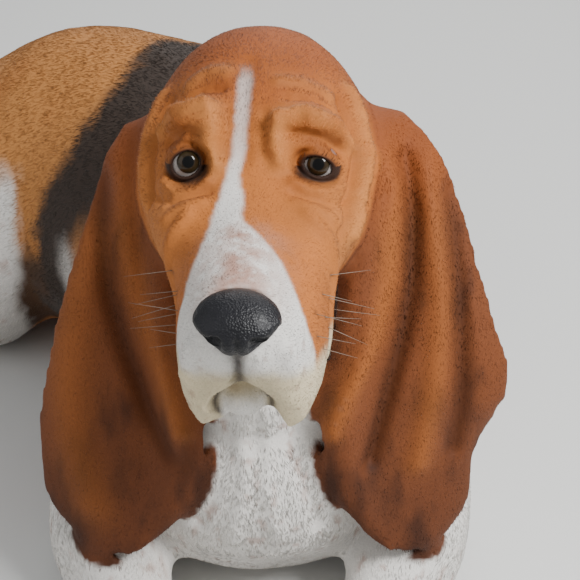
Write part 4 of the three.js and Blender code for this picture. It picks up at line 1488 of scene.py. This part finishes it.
class Studio:
    """Pale floor, soft light and the camera."""

    LAMPS = (
        Lamp("key", (860, -620, 1350), 0.55, 38.0),
        Lamp("fill", (-1300, -700, 900), 1.6, 7.0),
        Lamp("rim", (300, 1500, 1300), 1.4, 16.0),
    )
    LIT_MM = (-40, 0, 200)
    FLOOR_M = 30
    FLOOR_MIDDLE_MM = (-100, 100, 0)
    FLOOR_COLOUR = (0.72, 0.72, 0.70, 1)
    SKY_COLOUR = (0.95, 0.97, 1.0, 1)
    SKY_STRENGTH = 0.42

    def build(self) -> None:
        """Builds the floor, lights and camera."""
        self.floor()
        for lamp in self.LAMPS:
            self.light(lamp)
        self.sky()
        self.camera()

    def floor(self) -> None:
        """Adds the floor."""
        deselect_all()
        across, along, _ = LAND.from_dog(self.FLOOR_MIDDLE_MM)
        bpy.ops.mesh.primitive_plane_add(size=self.FLOOR_M, location=(across, along, 0))
        floor = bpy.context.active_object
        floor.name = "studio_floor"
        made, recipe, shader = new_material("floor_pale", {"Roughness": 0.9})
        recipe.put(shader, {"Base Color": self.FLOOR_COLOUR})
        floor.data.materials.append(made)

    def light(self, lamp: Lamp) -> None:
        """Adds one soft light."""
        data = bpy.data.lights.new(lamp.name, "AREA")
        data.size = lamp.size
        data.energy = lamp.power
        light = link_object(lamp.name, data)
        light.location = Vector(LAND.from_dog(lamp.at_mm))
        away = Vector(LAND.from_dog(self.LIT_MM)) - light.location
        light.rotation_euler = away.to_track_quat("-Z", "Y").to_euler()

    def sky(self) -> None:
        """Lights the whole scene evenly."""
        world = bpy.data.worlds.new("studio")
        world.use_nodes = True
        ground = world.node_tree.nodes["Background"]
        ground.inputs["Color"].default_value = self.SKY_COLOUR
        ground.inputs["Strength"].default_value = self.SKY_STRENGTH
        bpy.context.scene.world = world

    def camera(self) -> None:
        """Sets the camera where the photo was taken from."""
        data = bpy.data.cameras.new("camera")
        data.sensor_width = SENSOR_MM
        data.lens = SENSOR_MM * CAMERA_FOCAL_PX / PHOTO_PX
        camera = link_object("camera", data)
        camera.location = LAND.from_dog(CAMERA_AT_MM)
        camera.rotation_euler = (math.radians(90 - CAMERA_PITCH_DEG), 0, 0)
        bpy.context.scene.camera = camera


# The skin that shows between the tufts is painted darker than the coat: painted shade deep in the coat.
SKIN_SHADE = 0.88
UNWRAP_ANGLE = math.radians(75)
UNWRAP_MARGIN = 0.002


def unwrap(piece: bpy.types.Object) -> None:
    """Unwraps the skin on its own shape, into the map that the coat's roots use too."""
    make_active(piece)
    piece.data.uv_layers.new(name="OFBake")
    bpy.ops.object.mode_set(mode="EDIT")
    bpy.ops.mesh.select_all(action="SELECT")
    bpy.ops.uv.smart_project(angle_limit=UNWRAP_ANGLE, island_margin=UNWRAP_MARGIN)
    bpy.ops.object.mode_set(mode="OBJECT")
    LOG.info("skin unwrapped")


def dress_skin(skin: Skin, markings: Markings) -> None:
    """Paints the skin with the markings and hands it to the frame."""
    mesh = skin.piece.data
    colour_points(mesh, markings.paint(points_of(mesh), skin.ear) * SKIN_SHADE)
    mesh.materials.append(FurFinish("skin_fur").material())
    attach(skin.piece, "root")
    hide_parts(*FLESH)


def main() -> None:
    """Builds the dog piece by piece."""
    logging.basicConfig(level=logging.INFO, format="%(message)s")
    Studio().build()
    markings = Markings()
    skin = Skin()
    unwrap(skin.piece)
    dress_skin(skin, markings)
    Coat(skin, markings).build()
    for side in Side:
        Eyeball(side).build()
    Nose().build()
    Whiskers(skin).build()
    Claws().dress()


if __name__ == "__main__":
    main()
